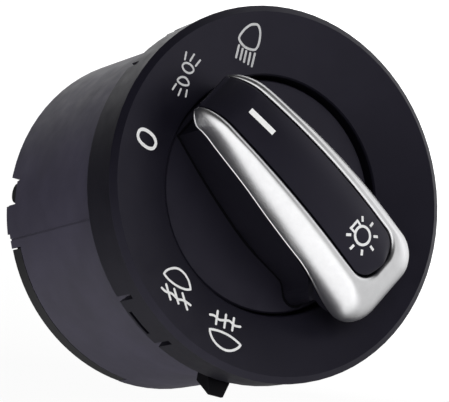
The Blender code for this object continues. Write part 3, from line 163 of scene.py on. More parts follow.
# Fine grain of every surface, and the span that a noise's values mostly keep to.
GRAIN_STRENGTH = 0.5
GRAIN_DETAIL = 2.0
GLOSS_SCALE = 3.1
GLOSS_DETAIL = 5.0
NOISE_LOW = 0.3
NOISE_HIGH = 0.7

# Signs, in millimetres on the dial.
LINE_FINE = 0.42
LINE_LOW_BEAM = 0.48
LINE_FRONT_FOG = 0.48
LINE_REAR_FOG = 0.50
LINE_FOG_STROKE = 0.52
LINE_FOG_WAVE = 0.50
ZERO_CENTRE = (-3.03, 30.90)
ZERO_HALVES = (1.50, 2.45)
ZERO_LEAN = 0.10
ZERO_LINE = 0.68
LAMP_OUTLINE_LOW = (
    (25.24, 19.72), (25.73, 20.01), (26.92, 19.85), (28.10, 19.42), (29.09, 18.73), (29.68, 17.84),
    (29.78, 17.25), (29.49, 16.66), (28.69, 15.97), (27.71, 15.51), (26.72, 15.22), (25.83, 15.18),
    (25.24, 15.51), (24.85, 16.46), (24.65, 17.65), (24.85, 18.83),
)
LOW_STROKES = (
    ((21.79, 18.63), (24.39, 19.27)),
    ((21.89, 17.55), (24.19, 18.14)),
    ((21.89, 16.50), (24.19, 17.15)),
    ((21.99, 15.38), (24.35, 16.11)),
    ((22.03, 14.39), (24.75, 15.08)),
)
FRONT_FOG_BULGE = (
    (-26.23, 17.37), (-25.32, 16.99), (-24.45, 16.12), (-23.78, 15.07), (-23.55, 14.01),
    (-23.78, 12.76), (-24.45, 11.61), (-25.32, 10.83), (-26.23, 10.35),
)
FRONT_FOG_BACK = (
    (-26.23, 10.35), (-26.71, 11.22), (-26.99, 12.37), (-27.09, 13.72), (-26.99, 14.87),
    (-26.76, 16.03), (-26.23, 17.37),
)
FRONT_FOG_STROKES = (
    ((-30.61, 14.29), (-27.92, 16.31)),
    ((-30.51, 12.27), (-27.92, 14.20)),
    ((-30.71, 9.97), (-27.82, 12.09)),
)
FRONT_FOG_WAVE = (
    (-29.17, 17.18), (-29.47, 15.93), (-29.21, 14.39), (-29.59, 12.76), (-29.21, 11.31), (-29.40, 9.39),
)
REAR_FOG_BULGE = (
    (-32.03, 3.98), (-32.89, 3.58), (-33.88, 2.59), (-34.47, 1.29), (-34.67, -0.10),
    (-34.38, -1.39), (-33.68, -2.48), (-32.78, -3.28), (-32.03, -3.63),
)
REAR_FOG_BACK = (
    (-32.03, -3.63), (-31.70, -2.68), (-31.41, -1.29), (-31.30, -0.10), (-31.37, 1.29),
    (-31.63, 2.69), (-32.03, 3.98),
)
REAR_FOG_STROKES = (
    ((-30.50, 2.83), (-27.42, 3.08)),
    ((-30.34, 0.80), (-27.28, 1.04)),
    ((-30.10, -1.09), (-27.12, -0.89)),
)
REAR_FOG_WAVE = (
    (-29.15, 4.77), (-28.85, 3.58), (-29.15, 2.33), (-28.67, 1.00), (-28.31, -0.09), (-28.71, -1.39),
    (-28.31, -2.84),
)
SIDE_STROKES = (
    ((8.80, 29.47), (10.32, 29.15)),
    ((8.49, 27.63), (10.06, 27.63)),
    ((9.15, 25.84), (10.60, 26.21)),
    ((15.40, 29.52), (16.98, 29.95)),
    ((15.79, 28.28), (17.57, 27.99)),
    ((15.61, 26.58), (17.29, 26.10)),
)
SIDE_LAMP_LEFT = (
    (11.12, 29.24), (11.62, 29.05), (12.15, 28.55), (12.44, 27.72), (12.25, 26.90), (11.80, 26.36),
    (11.40, 26.55), (11.00, 27.30), (10.84, 28.10), (10.90, 28.90),
)
SIDE_LAMP_RIGHT = (
    (14.35, 29.48), (14.90, 29.20), (15.22, 28.55), (15.28, 27.75), (15.05, 26.95), (14.65, 26.60),
    (14.15, 26.75), (13.70, 27.30), (13.52, 28.00), (13.62, 28.80), (13.95, 29.32),
)

# Signs on the knob, in millimetres in its own frame.
POINTER = ((13.5, 0.0), (19.8, 0.0))
POINTER_WIDTH = 1.2
BULB_CENTRE = (-14.0, 0.0)
BULB_RADIUS = 1.85
BULB_LINE = 0.55
BULB_RAYS = (2.75, 3.90)
BULB_RAY_TURNS = (45, 90, 135, 180, 225, 270, 315)
BULB_STEPS = 48
SOCKET_SIDES = (
    ((1.62, 0.98), (2.95, 1.12)),
    ((1.62, -0.98), (2.95, -1.12)),
)
SOCKET_LINE = 0.45
SOCKET_END = ((2.95, 1.34), (2.95, -1.34))
SOCKET_END_LINE = 0.50


def spline(points, closed, step=0.25):
    """Smooth path through points, as many short straight pieces."""
    pts = [Vector(p) for p in points]
    n = len(pts)
    spans = n if closed else n - 1
    path = []
    for i in range(spans):
        if closed:
            a, b, c, d = pts[i - 1], pts[i], pts[(i + 1) % n], pts[(i + 2) % n]
        else:
            b, c = pts[i], pts[i + 1]
            a = pts[i - 1] if i else b + (b - c)
            d = pts[i + 2] if i + 2 < n else c + (c - b)
        count = max(1, math.ceil((c - b).length / step))
        for k in range(count):
            t = k / count
            path.append(
                0.5 * (2 * b + (c - a) * t + (2 * a - 5 * b + 4 * c - d) * t * t + (3 * b - a - 3 * c + d) * t ** 3)
            )
    if not closed:
        path.append(pts[-1])
    return path


def oval(centre, halves, lean, power=2.3, steps=48):
    """Closed oval outline with a slight lean."""
    x, y = centre
    half_width, half_height = halves
    path = []
    for i in range(steps):
        a = 2 * math.pi * i / steps
        c, s = math.cos(a), math.sin(a)
        px = math.copysign(abs(c) ** (2 / power), c) * half_width
        py = math.copysign(abs(s) ** (2 / power), s) * half_height
        path.append(Vector((x + px + lean * py / half_height, y + py)))
    return path


class Sign:
    """Thin printed strokes laid on a CAD node, as one closed mesh."""

    def __init__(self, name, node, turn=0.0):
        self.name = name
        mesh = node.data
        self.tree = BVHTree.FromPolygons([v.co for v in mesh.vertices], [p.vertices for p in mesh.polygons])
        self.turn = Matrix.Rotation(turn, 2)
        self.bm = bmesh.new()

    def spot(self, point, rise):
        """Place on the node's front surface above a point of the dial, in millimetres."""
        x, y = self.turn @ (Vector(point) * MM)
        hit, normal, _, _ = self.tree.ray_cast(Vector((x, CAST_FROM, y)), Vector((0.0, 1.0, 0.0)))
        if hit is None:
            raise RuntimeError(f"{self.name}: no surface at {x:.4f}, {y:.4f}")
        return hit + normal * rise

    def stroke(self, path, width, closed=False, square=False):
        """A band of even width along a path."""
        path = [Vector(p) for p in path]
        half = width / 2
        if not closed:
            fine = []
            for a, b in zip(path, path[1:]):
                count = max(1, math.ceil((b - a).length * MM / PRINT_STEP))
                fine += [a.lerp(b, k / count) for k in range(count)]
            path = fine + [path[-1]]
        n = len(path)
        rows = []
        for i, p in enumerate(path):
            before = path[i - 1] if (closed or i) else p
            after = path[(i + 1) % n] if (closed or i < n - 1) else p
            along = (after - before).normalized()
            across = Vector((-along.y, along.x))
            rows.append((p, across, half))
        if not closed and not square:
            rows = self.round_end(rows[0], path[0] - path[1], half)[::-1] + rows[1:-1] + self.round_end(
                rows[-1], path[-1] - path[-2], half
            )
        rings = []
        for p, across, reach in rows:
            left, right = p + across * reach, p - across * reach
            ring = [
                self.bm.verts.new(self.spot(left, PRINT_RISE)),
                self.bm.verts.new(self.spot(p, PRINT_RISE * PRINT_CROWN)),
                self.bm.verts.new(self.spot(right, PRINT_RISE)),
                self.bm.verts.new(self.spot(right, -PRINT_DEPTH)),
                self.bm.verts.new(self.spot(left, -PRINT_DEPTH)),
            ]
            rings.append(ring)
        pairs = list(zip(rings, rings[1:] + rings[:1])) if closed else list(zip(rings, rings[1:]))
        for a, b in pairs:
            for k in range(5):
                m = (k + 1) % 5
                self.bm.faces.new((a[k], a[m], b[m], b[k]))
        if not closed:
            self.bm.faces.new(rings[0][::-1])
            self.bm.faces.new(rings[-1])

    @staticmethod
    def round_end(row, outward, half, steps=4):
        """Rows of a band's rounded end, from the full width outwards."""
        p, across, _ = row
        out = outward.normalized()
        rows = []
        for k in range(steps + 1):
            a = ROUND_END_TURN * k / steps
            rows.append((p + out * half * (math.sin(a) - ROUND_END_SETBACK), across, half * math.cos(a)))
        return rows

    def piece(self, paint, body):
        """The finished mesh, riding on its body."""
        return ridden(linked(self.name, self.bm, paint), body)


def linked(name, bm, paint):
    """An object with the mesh's faces turned outwards and one surface."""
    bmesh.ops.recalc_face_normals(bm, faces=bm.faces)
    mesh = bpy.data.meshes.new(name)
    bm.to_mesh(mesh)
    bm.free()
    mesh.materials.append(paint)
    obj = bpy.data.objects.new(name, mesh)
    bpy.context.collection.objects.link(obj)
    return obj


def ridden(obj, body):
    """The object, riding on its body."""
    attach(obj, body)
    return obj


def make_fog_sign(name, face, bulge, back, line, strokes, wave, paint):
    """A fog lamp: its outline, the beam's strokes and the wave across them."""
    sign = Sign(name, face)
    sign.stroke(spline(bulge, False) + spline(back, False)[1:-1], line, closed=True)
    for a, b in strokes:
        sign.stroke((a, b), LINE_FOG_STROKE)
    sign.stroke(spline(wave, False), LINE_FOG_WAVE)
    sign.piece(paint, "housing")


def make_face_signs(face, paints):
    zero = Sign("sign_off", face)
    zero.stroke(oval(ZERO_CENTRE, ZERO_HALVES, ZERO_LEAN), ZERO_LINE, closed=True)
    zero.piece(paints["print"], "housing")

    side = Sign("sign_side_lamps", face)
    for outline in (SIDE_LAMP_LEFT, SIDE_LAMP_RIGHT):
        side.stroke(spline(outline, True), LINE_FINE, closed=True)
    for a, b in SIDE_STROKES:
        side.stroke((a, b), LINE_FINE)
    side.piece(paints["print_dim"], "housing")

    low = Sign("sign_low_beam", face)
    low.stroke(spline(LAMP_OUTLINE_LOW, True), LINE_LOW_BEAM, closed=True)
    for a, b in LOW_STROKES:
        low.stroke((a, b), LINE_LOW_BEAM)
    low.piece(paints["print_dim"], "housing")

    make_fog_sign(
        "sign_front_fog", face, FRONT_FOG_BULGE, FRONT_FOG_BACK, LINE_FRONT_FOG, FRONT_FOG_STROKES,
        FRONT_FOG_WAVE, paints["print"],
    )
    make_fog_sign(
        "sign_rear_fog", face, REAR_FOG_BULGE, REAR_FOG_BACK, LINE_REAR_FOG, REAR_FOG_STROKES,
        REAR_FOG_WAVE, paints["print"],
    )


def make_knob_signs(insert, paints):
    pointer = Sign("sign_pointer", insert, KNOB_ANGLE)
    pointer.stroke(POINTER, POINTER_WIDTH, square=True)
    pointer.piece(paints["print"], "knob")

    bulb = Sign("sign_bulb", insert, KNOB_ANGLE)
    centre = Vector(BULB_CENTRE)
    turns = [2 * math.pi * i / BULB_STEPS for i in range(BULB_STEPS)]
    ring = [centre + Vector((math.cos(a), math.sin(a))) * BULB_RADIUS for a in turns]
    bulb.stroke(ring, BULB_LINE, closed=True)
    for turn in BULB_RAY_TURNS:
        d = Vector((math.cos(math.radians(turn)), math.sin(math.radians(turn))))
        bulb.stroke([centre + d * reach for reach in BULB_RAYS], BULB_LINE, square=True)
    for side in SOCKET_SIDES:
        bulb.stroke([centre + Vector(p) for p in side], SOCKET_LINE, square=True)
    bulb.stroke([centre + Vector(p) for p in SOCKET_END], SOCKET_END_LINE, square=True)
    bulb.piece(paints["print"], "knob")


def smoothstep(share):
    share = min(max(share, 0.0), 1.0)
    return share * share * (3 - 2 * share)


def insert_fall(s):
    """Share of the insert's flattening that a place along it has reached."""
    return smoothstep(s / INSERT_FALL_LENGTH)


def insert_half(s):
    return INSERT_HALF - INSERT_TAPER * s - INSERT_NARROWING * s * s


def edge_height(s):
    """Height of the seam between insert and trim, without the nose."""
    return INSERT_EDGE_Z - INSERT_ARCH * (s - INSERT_ARCH_S) ** 2


def nose_drop(s, start, radius):
    reach = min(max(0.0, s - start), radius * NOSE_LIMIT)
    return radius - math.sqrt(radius * radius - reach * reach)


def top_drop(s):
    return nose_drop(s, NOSE_START, NOSE_RADIUS)


def lip_drop(s):
    return nose_drop(s, LIP_NOSE_START, LIP_NOSE_RADIUS)


def trim_drop_share(s):
    return smoothstep((TRIM_DROP_START - s) / TRIM_DROP_LENGTH)


def past_tip(s):
    """How far a place lies along the rounded tip of an arm, from 0 to 1."""
    return min(max(0.0, s - TRIM_TIP_START) / (TRIM_FRONT - TRIM_TIP_START), 1.0)


def lip_height(s):
    sink = TRIM_LIP_SINK * smoothstep((s - TRIM_SINK_START) / (TRIM_FRONT - TRIM_SINK_START))
    sink += TRIM_TIP_SINK * smoothstep((s - TRIM_TIP_SINK_START) / TRIM_TIP_SINK_LENGTH) * (1 - past_tip(s) ** 2)
    return TRIM_LIP_Z - sink - TRIM_DROP * trim_drop_share(s) - lip_drop(s)


def trim_edge(s):
    """Half the width of the trim at its lower edge, with the rounded tips of its arms."""
    width = TRIM_HALF - TRIM_TAPER * s - TRIM_NARROWING * s * s + TRIM_END_FLARE * trim_drop_share(s)
    seam = insert_half(s) + INSERT_GAP
    return seam + (width - seam) * math.sqrt(1 - (past_tip(s) * TRIM_TIP_SHARE) ** 2)


def plan_loop(half_width, end, corner, tip_steps=22, side_steps=26, end_steps=20, corner_steps=16):
    """Outline of the trim seen from the front, from its left tip round its end to its right tip."""
    start = -end + corner
    tip = TRIM_FRONT - TRIM_TIP_START
    middle = END_BLOCK_START
    places = [TRIM_TIP_START + tip * math.cos(math.pi / 2 * i / tip_steps) for i in range(tip_steps)]
    places += [TRIM_TIP_START + (middle - TRIM_TIP_START) * i / side_steps for i in range(side_steps)]
    places += [middle + (start - middle) * i / end_steps for i in range(end_steps + 1)]
    side = [(s, half_width(s)) for s in places]
    half = half_width(start)
    for i in range(1, corner_steps + 1):
        turn = math.pi / 2 * i / corner_steps
        side.append((start - corner * math.sin(turn), half - corner + corner * math.cos(turn)))
    return side + [(s, -t) for s, t in reversed(side)]


def trim_section(upper, lower, outer_steps=22, inner_steps=6, roll_steps=4):
    """One section of the trim: a rolled seam edge, the rounded outside, the lip and back up inside."""
    upper_s, upper_t = upper
    lower_s, lower_t = lower
    top = edge_height(upper_s) - top_drop(upper_s) + TRIM_RISE
    low = lip_height(lower_s)
    across = Vector((lower_s - upper_s, lower_t - upper_t))
    outward = across.normalized()
    wall = min(TRIM_WALL, across.length * TRIM_WALL_SHARE)
    lip_reach = TRIM_LIP * (1 - trim_drop_share(lower_s))
    corner = low + TRIM_LIP_HEIGHT
    flat = smoothstep((TRIM_ROUND_TIP - lower_s) / (TRIM_ROUND_TIP - TRIM_FLAT_END))
    power = 1 + TRIM_FLATNESS * flat * (1 - TRIM_END_ROUNDING * trim_drop_share(lower_s))
    roll = min(TRIM_ROLL, across.length * TRIM_ROLL_SHARE)
    section = []
    for i in range(roll_steps):
        turn = math.pi / 2 * i / roll_steps
        spot = Vector(upper) + outward * (roll - roll * math.cos(turn))
        section.append((spot.x, spot.y, top - roll + roll * math.sin(turn)))
    start = Vector(upper) + outward * roll
    span = across - outward * roll
    for i in range(outer_steps + 1):
        turn = math.pi / 2 * (1 - i / outer_steps)
        spot = start + span * math.cos(turn) ** power
        section.append((spot.x, spot.y, corner + (top - corner) * math.sin(turn) ** power))
    base = Vector(lower)
    half_lip = TRIM_LIP_HEIGHT / 2
    for share in TRIM_LIP_SHARES:
        out = base + outward * lip_reach * math.sqrt(1 - share * share)
        section.append((out.x, out.y, low + half_lip - half_lip * share))
    section.append((base.x, base.y, low))
    inside = across - outward * wall
    roof = top - low - wall
    for i in range(inner_steps + 1):
        turn = math.pi / 2 * (1 - i / inner_steps)
        spot = Vector(upper) + inside * math.sin(turn)
        section.append((spot.x, spot.y, low + roof * math.cos(turn)))
    return section


def knob_place():
    """Turn from the knob's own frame, with its length along x and its front up z, into the part's."""
    return Matrix.Rotation(math.pi / 2, 4, "X") @ Matrix.Rotation(KNOB_ANGLE, 4, "Z")


def lofted(name, loops, paint, turn=None, closed=False):
    """A closed mesh through loops of points, which either end in caps or run on into the first loop."""
    turn = turn or Matrix.Identity(4)
    bm = bmesh.new()
    rings = [[bm.verts.new(turn @ Vector(point)) for point in loop] for loop in loops]
    count = len(rings[0])
    for ring, following in zip(rings, rings[1:] + rings[:1] if closed else rings[1:]):
        for i in range(count):
            j = (i + 1) % count
            bm.faces.new((ring[i], ring[j], following[j], following[i]))
    if not closed:
        bm.faces.new(rings[0])
        bm.faces.new(rings[-1])
    return linked(name, bm, paint)


def make_trim(paint):
    """The plated trim at full smoothness, in place of the plain one."""
    inner_end = INSERT_END + INSERT_GAP
    inner_corner = INSERT_CORNER + INSERT_GAP
    upper = plan_loop(lambda s: insert_half(s) + INSERT_GAP, inner_end, inner_corner)
    lower = plan_loop(trim_edge, TRIM_END, TRIM_CORNER)
    loops = [trim_section(high, low) for high, low in zip(upper, lower)]
    trim = lofted("trim_smooth", loops, paint, knob_place())
    soften(trim, SOFT_EDGE)
    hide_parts("chrome_trim")
    return ridden(trim, "knob")


def insert_loops(nose_steps=26, side_steps=26, corner_steps=14, across_steps=24):
    """Sections across the insert: a flat bottom, a rounded edge and a crowned top."""
    start = -INSERT_END + INSERT_CORNER
    turns = [math.pi / 2 * i / corner_steps for i in range(corner_steps)]
    places = [-INSERT_END + INSERT_CORNER * (1 - math.cos(turn)) for turn in turns]
    places += [start + (NOSE_START - start) * i / side_steps for i in range(side_steps + 1)]
    nose = INSERT_FRONT - NOSE_START
    places += [NOSE_START + nose * math.sin(math.pi / 2 * i / nose_steps) for i in range(1, nose_steps + 1)]
    loops = []
    for s in places:
        tip = smoothstep((s - TRIM_FRONT) / (INSERT_FRONT - TRIM_FRONT))
        full = insert_half(s)
        short = max(0.0, INSERT_CORNER - (s + INSERT_END))
        round_off = INSERT_CORNER - math.sqrt(max(INSERT_CORNER ** 2 - short * short, 0.0))
        half = full - round_off - INSERT_GAP * tip
        bottom = INSERT_BOTTOM - lip_drop(s)
        edge = max(edge_height(s) - top_drop(s), bottom + INSERT_GAP)
        height = INSERT_CROWN * (1 - INSERT_CROWN_FALL * insert_fall(s))
        loop = [(s, -half, bottom)]
        for i in range(across_steps + 1):
            share = 2 * i / across_steps - 1
            loop.append((s, half * share, edge + height * (1 - share * share)))
        loop.append((s, half, bottom))
        loops.append(loop)
    return loops


def make_insert(paint):
    """The crowned insert at full smoothness, in place of the plain one."""
    insert = lofted("insert_smooth", insert_loops(), paint, knob_place())
    soften(insert, SOFT_EDGE * 2)
    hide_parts("knob_insert")
    return ridden(insert, "knob")


def plinth_half(s):
    """Half the width of the plinth where it stands on the disc."""
    if s > PLINTH_WAIST_S:
        share = (s - PLINTH_WAIST_S) / (PLINTH_FRONT - PLINTH_WAIST_S)
        half = PLINTH_WAIST_HALF + (PLINTH_FRONT_HALF - PLINTH_WAIST_HALF) * share * math.sqrt(share)
    else:
        share = (PLINTH_WAIST_S - s) / (PLINTH_WAIST_S - END_BLOCK_START)
        half = PLINTH_WAIST_HALF + (PLINTH_NECK_HALF - PLINTH_WAIST_HALF) * smoothstep(share)
    step = smoothstep((END_BLOCK_START - s) / END_BLOCK_STEP)
    return half + (END_BLOCK_HALF - half) * step


def foot_loop(offset, height, side_steps=48, corner_steps=6):
    """The plinth's outline on the disc, a little outside or inside it."""
    end = DISC_RADIUS - END_BLOCK_EDGE
    start = -end + PLINTH_CORNER
    side = [(PLINTH_FRONT + offset, plinth_half(PLINTH_FRONT) + offset)]
    for i in range(1, side_steps + 1):
        s = PLINTH_FRONT + (start - PLINTH_FRONT) * i / side_steps
        side.append((s, plinth_half(s) + offset))
    half, corner = plinth_half(start) + offset, PLINTH_CORNER + offset
    for i in range(1, corner_steps + 1):
        turn = math.pi / 2 * i / corner_steps
        side.append((start - corner * math.sin(turn), half - corner + corner * math.cos(turn)))
    return [(s, t, height) for s, t in side + [(s, -t) for s, t in reversed(side)]]


def make_foot_line(paint):
    """A thin near-black strip round the joint where the plinth stands on the disc: painted shade of the gap there."""
    top, bottom = DISC_TOP + FOOT_RISE, DISC_TOP - FOOT_RISE
    corners = ((FOOT_OUTER, top), (FOOT_INNER, top), (FOOT_INNER, bottom), (FOOT_OUTER, bottom))
    loops = [foot_loop(offset, height) for offset, height in corners]
    ridden(lofted("plinth_foot_line", loops, paint, knob_place(), closed=True), "knob")


def make_joint_fill(paint, steps=4):
    """A near-black filler in the joint between the housing and the end of the cover's band: it closes the gap, and
    its colour is painted shade of the joint's depth.
    """
    first, last = JOINT_ANGLES
    inner, outer = JOINT_RADII
    front, rear = JOINT_DEPTHS
    loops = []
    for i in range(steps + 1):
        a = first + (last - first) * i / steps
        corners = ((inner, front), (outer, front), (outer, rear), (inner, rear))
        loops.append([(math.cos(a) * radius, depth, math.sin(a) * radius) for radius, depth in corners])
    ridden(lofted("joint_fill", loops, paint), "housing")


def soften(obj, width):
    """Smooth shading with small rounded edges, as a moulding has."""
    for polygon in obj.data.polygons:
        polygon.use_smooth = True
    weld = obj.modifiers.new("weld", "WELD")
    weld.merge_threshold = WELD_REACH
    bevel = obj.modifiers.new("soft_edges", "BEVEL")
    bevel.width = width
    bevel.segments = 2
    bevel.limit_method = "ANGLE"
    bevel.angle_limit = SOFT_ANGLE
    normals = obj.modifiers.new("even_normals", "WEIGHTED_NORMAL")
    normals.mode = "FACE_AREA_WITH_ANGLE"
    normals.keep_sharp = True


def soften_nodes(frame):
    """Every CAD node that shows gets smooth shading and softened edges; its own mesh stays as it is."""
    for name, obj in frame["nodes"].items():
        fine = name in ("face_plate", "housing", "rear_cover", "knob_body", "rotor", "claw_left", "claw_right")
        soften(obj, SOFT_EDGE if fine else SOFT_EDGE / 2)


def noise_range(tree, place, scale, low, high, detail=3.0):
    """A noise at a scale per metre, mapped to a range."""
    noise = tree.nodes.new("ShaderNodeTexNoise")
    noise.inputs["Scale"].default_value = scale
    noise.inputs["Detail"].default_value = detail
    tree.links.new(place, noise.inputs["Vector"])
    spread = tree.nodes.new("ShaderNodeMapRange")
    spread.inputs["From Min"].default_value = NOISE_LOW
    spread.inputs["From Max"].default_value = NOISE_HIGH
    spread.inputs["To Min"].default_value = low
    spread.inputs["To Max"].default_value = high
    tree.links.new(noise.outputs["Fac"], spread.inputs["Value"])
    return spread.outputs["Result"]


def surface(
    name, colour, rough, rough_spread=0.05, shade=0.12, shade_scale=90.0, grain=5200.0, grain_depth=0.000012,
    metallic=0.0, specular=0.5, tint=(1.0, 1.0, 1.0), clear=0.0,
):
    """A moulded or plated surface: colour and gloss that vary a little, and a fine grain."""
    paint = bpy.data.materials.new(name)
    paint.use_nodes = True
    tree = paint.node_tree
    shader = tree.nodes["Principled BSDF"]
    shader.inputs["Metallic"].default_value = metallic
    shader.inputs["Specular IOR Level"].default_value = specular
    shader.inputs["Specular Tint"].default_value = (*tint, 1.0)
    shader.inputs["Transmission Weight"].default_value = clear
    place = tree.nodes.new("ShaderNodeTexCoord").outputs["Object"]

    mix = tree.nodes.new("ShaderNodeMix")
    mix.data_type = "RGBA"
    mix.inputs[6].default_value = (*[c * (1 - shade) for c in colour], 1.0)
    mix.inputs[7].default_value = (*[min(1.0, c * (1 + shade)) for c in colour], 1.0)
    tree.links.new(noise_range(tree, place, shade_scale, 0.0, 1.0), mix.inputs[0])
    tree.links.new(mix.outputs[2], shader.inputs["Base Color"])

    tree.links.new(
        noise_range(tree, place, shade_scale * GLOSS_SCALE, rough - rough_spread, rough + rough_spread, GLOSS_DETAIL),
        shader.inputs["Roughness"],
    )

    fine = tree.nodes.new("ShaderNodeTexNoise")
    fine.inputs["Scale"].default_value = grain
    fine.inputs["Detail"].default_value = GRAIN_DETAIL
    tree.links.new(place, fine.inputs["Vector"])
    bump = tree.nodes.new("ShaderNodeBump")
    bump.inputs["Strength"].default_value = GRAIN_STRENGTH
    bump.inputs["Distance"].default_value = grain_depth
    tree.links.new(fine.outputs["Fac"], bump.inputs["Height"])
    tree.links.new(bump.outputs["Normal"], shader.inputs["Normal"])
    return paint


def make_paints():
    black = (0.0056, 0.0052, 0.0088)
    cool = (0.82, 0.78, 1.0)
    return {
        "face": surface("face_black", black, 0.42, specular=0.34, tint=cool),
        "housing": surface(
            "housing_black", (0.038, 0.034, 0.057), 0.50, shade=0.18, grain=3800.0, grain_depth=0.00002,
        ),
        "cover": surface("cover_black", (0.0022, 0.0020, 0.0036), 0.50, grain=4200.0, grain_depth=0.00002),
        "claw": surface("claw_black", (0.0022, 0.0020, 0.0034), 0.40, specular=0.15),
        "knob": surface("knob_black", (0.0084, 0.0078, 0.0122), 0.40, specular=0.36, tint=cool),
        "insert": surface("insert_black", (0.0076, 0.0071, 0.0112), 0.38, specular=0.34, tint=cool),
        "chrome": surface(
            "satin_chrome", (0.76, 0.76, 0.77), 0.32, rough_spread=0.03, shade=0.03, shade_scale=700.0,
            grain=9000.0, grain_depth=0.000006, metallic=1.0,
        ),
        "rotor": surface("rotor_white", (0.62, 0.60, 0.54), 0.45, shade=0.06),
        "slider": surface("slider_grey", (0.30, 0.31, 0.32), 0.45, shade=0.08),
        "board": surface("board_green", (0.022, 0.095, 0.040), 0.38, shade=0.25, shade_scale=400.0),
        "copper": surface("contact_brass", (0.72, 0.50, 0.24), 0.28, metallic=1.0, shade=0.10, shade_scale=500.0),
        "tin": surface("tin_plate", (0.66, 0.66, 0.66), 0.32, metallic=1.0, shade=0.08, shade_scale=600.0),
        "steel": surface("spring_steel", (0.52, 0.52, 0.54), 0.26, metallic=1.0, shade=0.10, shade_scale=800.0),
        "diffuser": surface("diffuser_milky", (0.78, 0.78, 0.76), 0.50, shade=0.04),
        "guide": surface("guide_clear", (0.86, 0.88, 0.90), 0.12, shade=0.03, rough_spread=0.02, clear=0.7),
        "chip": surface("lamp_chip", (0.80, 0.70, 0.30), 0.40, shade=0.10, shade_scale=900.0),
        # Near-black paint of the plinth's foot line and the joint filler: painted shade of the gaps they sit in
        "shadow": surface("painted_gap_shade", (0.0016, 0.0015, 0.0024), 0.80, specular=0.10),
        "print": surface("sign_white", (0.86, 0.86, 0.86), 0.55, shade=0.05, shade_scale=900.0),
        "print_dim": surface("sign_grey", (0.58, 0.58, 0.59), 0.55, shade=0.08, shade_scale=900.0),
    }


def paint_nodes(frame, paints):
    """Every CAD node gets the surface that the start of its name calls for."""
    by_prefix = (
        ("face_plate", "face"), ("housing", "housing"), ("rear_cover", "cover"), ("claw_spring", "steel"),
        ("claw", "claw"), ("knob_body", "knob"), ("knob_insert", "insert"), ("chrome_trim", "chrome"),
        ("light_guide", "guide"), ("light_board", "board"), ("contact_board", "board"),
        ("symbol_diffuser", "diffuser"), ("lamp_chip", "chip"), ("terminal", "tin"), ("detent_leaf", "steel"),
        ("fog_rail", "copper"), ("rotor", "rotor"), ("contact_shoe", "copper"), ("contact_spring", "steel"),
        ("return_spring", "steel"), ("fog_slider", "slider"), ("fog_wiper", "copper"),
    )
    for name, obj in frame["nodes"].items():
        for prefix, paint in by_prefix:
            if name.startswith(prefix):
                obj.data.materials.clear()
                obj.data.materials.append(paints[paint])
                break
        else:
            raise RuntimeError(f"no surface for {name}")


def seen_rays(tree):
    """Two masks: 1 for camera rays, and 1 for camera, glossy and transmission rays."""
    path = tree.nodes.new("ShaderNodeLightPath")
    either = tree.nodes.new("ShaderNodeMath")
    either.operation = "MAXIMUM"
    tree.links.new(path.outputs["Is Glossy Ray"], either.inputs[0])
    tree.links.new(path.outputs["Is Transmission Ray"], either.inputs[1])
    every = tree.nodes.new("ShaderNodeMath")
    every.operation = "MAXIMUM"
    tree.links.new(path.outputs["Is Camera Ray"], every.inputs[0])
    tree.links.new(either.outputs[0], every.inputs[1])
    return path.outputs["Is Camera Ray"], every.outputs[0]


def lobe(tree, direction, axis, edge, core, level):
    """Light of a large soft source in a direction: a level round an axis that fades out to its edge."""
    dot = tree.nodes.new("ShaderNodeVectorMath")
    dot.operation = "DOT_PRODUCT"
    dot.inputs[1].default_value = tuple(Vector(axis).normalized())
    tree.links.new(direction, dot.inputs[0])
    fall = tree.nodes.new("ShaderNodeMapRange")
    fall.interpolation_type = "SMOOTHSTEP"
    fall.inputs["From Min"].default_value = edge
    fall.inputs["From Max"].default_value = core
    fall.inputs["To Min"].default_value = 0.0
    fall.inputs["To Max"].default_value = level
    tree.links.new(dot.outputs["Value"], fall.inputs["Value"])
    return fall.outputs["Result"]


def summed(tree, first, second):
    plus = tree.nodes.new("ShaderNodeMath")
    plus.operation = "ADD"
    tree.links.new(first, plus.inputs[0])
    if isinstance(second, float):
        plus.inputs[1].default_value = second
    else:
        tree.links.new(second, plus.inputs[1])
    return plus.outputs[0]


def studio(tree, direction):
    """Light of every large soft source together in a direction."""
    total = ROOM_LEVEL
    for source in LOBES:
        total = summed(tree, lobe(tree, direction, *source), total)
    return total


def make_world():
    """A dim room with large soft sources, white to the camera."""
    world = bpy.data.worlds.new("studio")
    world.use_nodes = True
    bpy.context.scene.world = world
    tree = world.node_tree
    back = tree.nodes["Background"]
    place = tree.nodes.new("ShaderNodeTexCoord").outputs["Generated"]
    camera, _ = seen_rays(tree)
    white = tree.nodes.new("ShaderNodeMix")
    white.data_type = "FLOAT"
    tree.links.new(camera, white.inputs[0])
    tree.links.new(studio(tree, place), white.inputs[2])
    white.inputs[3].default_value = 1.0
    tree.links.new(white.outputs[0], back.inputs["Strength"])
    back.inputs["Color"].default_value = (1.0, 1.0, 1.0, 1.0)


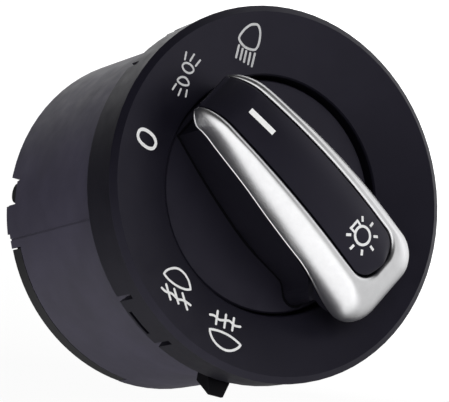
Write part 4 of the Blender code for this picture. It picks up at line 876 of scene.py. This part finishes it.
def make_floor():
    """Pale floor well below the part, which shows to the camera as white and to gloss as the studio's light."""
    bm = bmesh.new()
    bmesh.ops.create_grid(bm, x_segments=8, y_segments=8, size=FLOOR_HALF)
    bmesh.ops.translate(bm, verts=bm.verts, vec=(0.0, 0.0, FLOOR_Z))
    mesh = bpy.data.meshes.new("floor")
    bm.to_mesh(mesh)
    bm.free()
    paint = bpy.data.materials.new("floor_pale")
    paint.use_nodes = True
    tree = paint.node_tree
    shader = tree.nodes["Principled BSDF"]
    shader.inputs["Base Color"].default_value = FLOOR_COLOUR
    shader.inputs["Roughness"].default_value = 0.9
    shader.inputs["Specular IOR Level"].default_value = 0.0
    camera, seen = seen_rays(tree)
    place = tree.nodes.new("ShaderNodeNewGeometry").outputs["Position"]
    direction = tree.nodes.new("ShaderNodeVectorMath")
    direction.operation = "NORMALIZE"
    tree.links.new(place, direction.inputs[0])
    mirrored = tree.nodes.new("ShaderNodeMath")
    mirrored.operation = "MULTIPLY"
    tree.links.new(seen, mirrored.inputs[0])
    tree.links.new(studio(tree, direction.outputs["Vector"]), mirrored.inputs[1])
    either = tree.nodes.new("ShaderNodeMath")
    either.operation = "MAXIMUM"
    tree.links.new(camera, either.inputs[0])
    tree.links.new(mirrored.outputs[0], either.inputs[1])
    glow = tree.nodes.new("ShaderNodeMath")
    glow.operation = "MULTIPLY"
    glow.inputs[1].default_value = FLOOR_GLOW
    tree.links.new(either.outputs[0], glow.inputs[0])
    shader.inputs["Emission Color"].default_value = (1.0, 1.0, 1.0, 1.0)
    tree.links.new(glow.outputs[0], shader.inputs["Emission Strength"])
    mesh.materials.append(paint)
    floor = bpy.data.objects.new("floor", mesh)
    bpy.context.collection.objects.link(floor)


def make_lamp():
    """A square softbox aimed at the part."""
    data = bpy.data.lights.new("front", "AREA")
    data.shape = "RECTANGLE"
    data.size = LAMP_SIZE
    data.size_y = LAMP_SIZE
    data.energy = LAMP_POWER
    lamp = bpy.data.objects.new("front", data)
    place = Vector(LAMP_DIRECTION).normalized() * LAMP_DISTANCE
    lamp.location = place
    lamp.rotation_mode = "QUATERNION"
    lamp.rotation_quaternion = (-place).to_track_quat("-Z", "Y")
    lamp.visible_glossy = False
    bpy.context.collection.objects.link(lamp)


def make_camera():
    data = bpy.data.cameras.new("camera")
    data.lens = CAMERA_LENS
    data.sensor_width = CAMERA_SENSOR
    data.clip_start = 0.01
    data.clip_end = 50.0
    camera = bpy.data.objects.new("camera", data)
    back = Vector(CAMERA_BACK).normalized()
    right = (Vector(CAMERA_RIGHT) - back * back.dot(Vector(CAMERA_RIGHT))).normalized()
    up = back.cross(right)
    turn = Matrix((right, up, back)).transposed().to_4x4()
    camera.matrix_world = Matrix.Translation(Vector(CAMERA_PLACE)) @ turn
    bpy.context.collection.objects.link(camera)
    bpy.context.scene.camera = camera


def main():
    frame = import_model()
    paints = make_paints()
    paint_nodes(frame, paints)
    soften_nodes(frame)
    make_face_signs(frame["nodes"]["face_plate"], paints)
    make_trim(paints["chrome"])
    make_knob_signs(make_insert(paints["insert"]), paints)
    make_foot_line(paints["shadow"])
    make_joint_fill(paints["shadow"])
    make_world()
    make_floor()
    make_lamp()
    make_camera()
    bpy.context.scene.view_settings.view_transform = "Standard"


main()
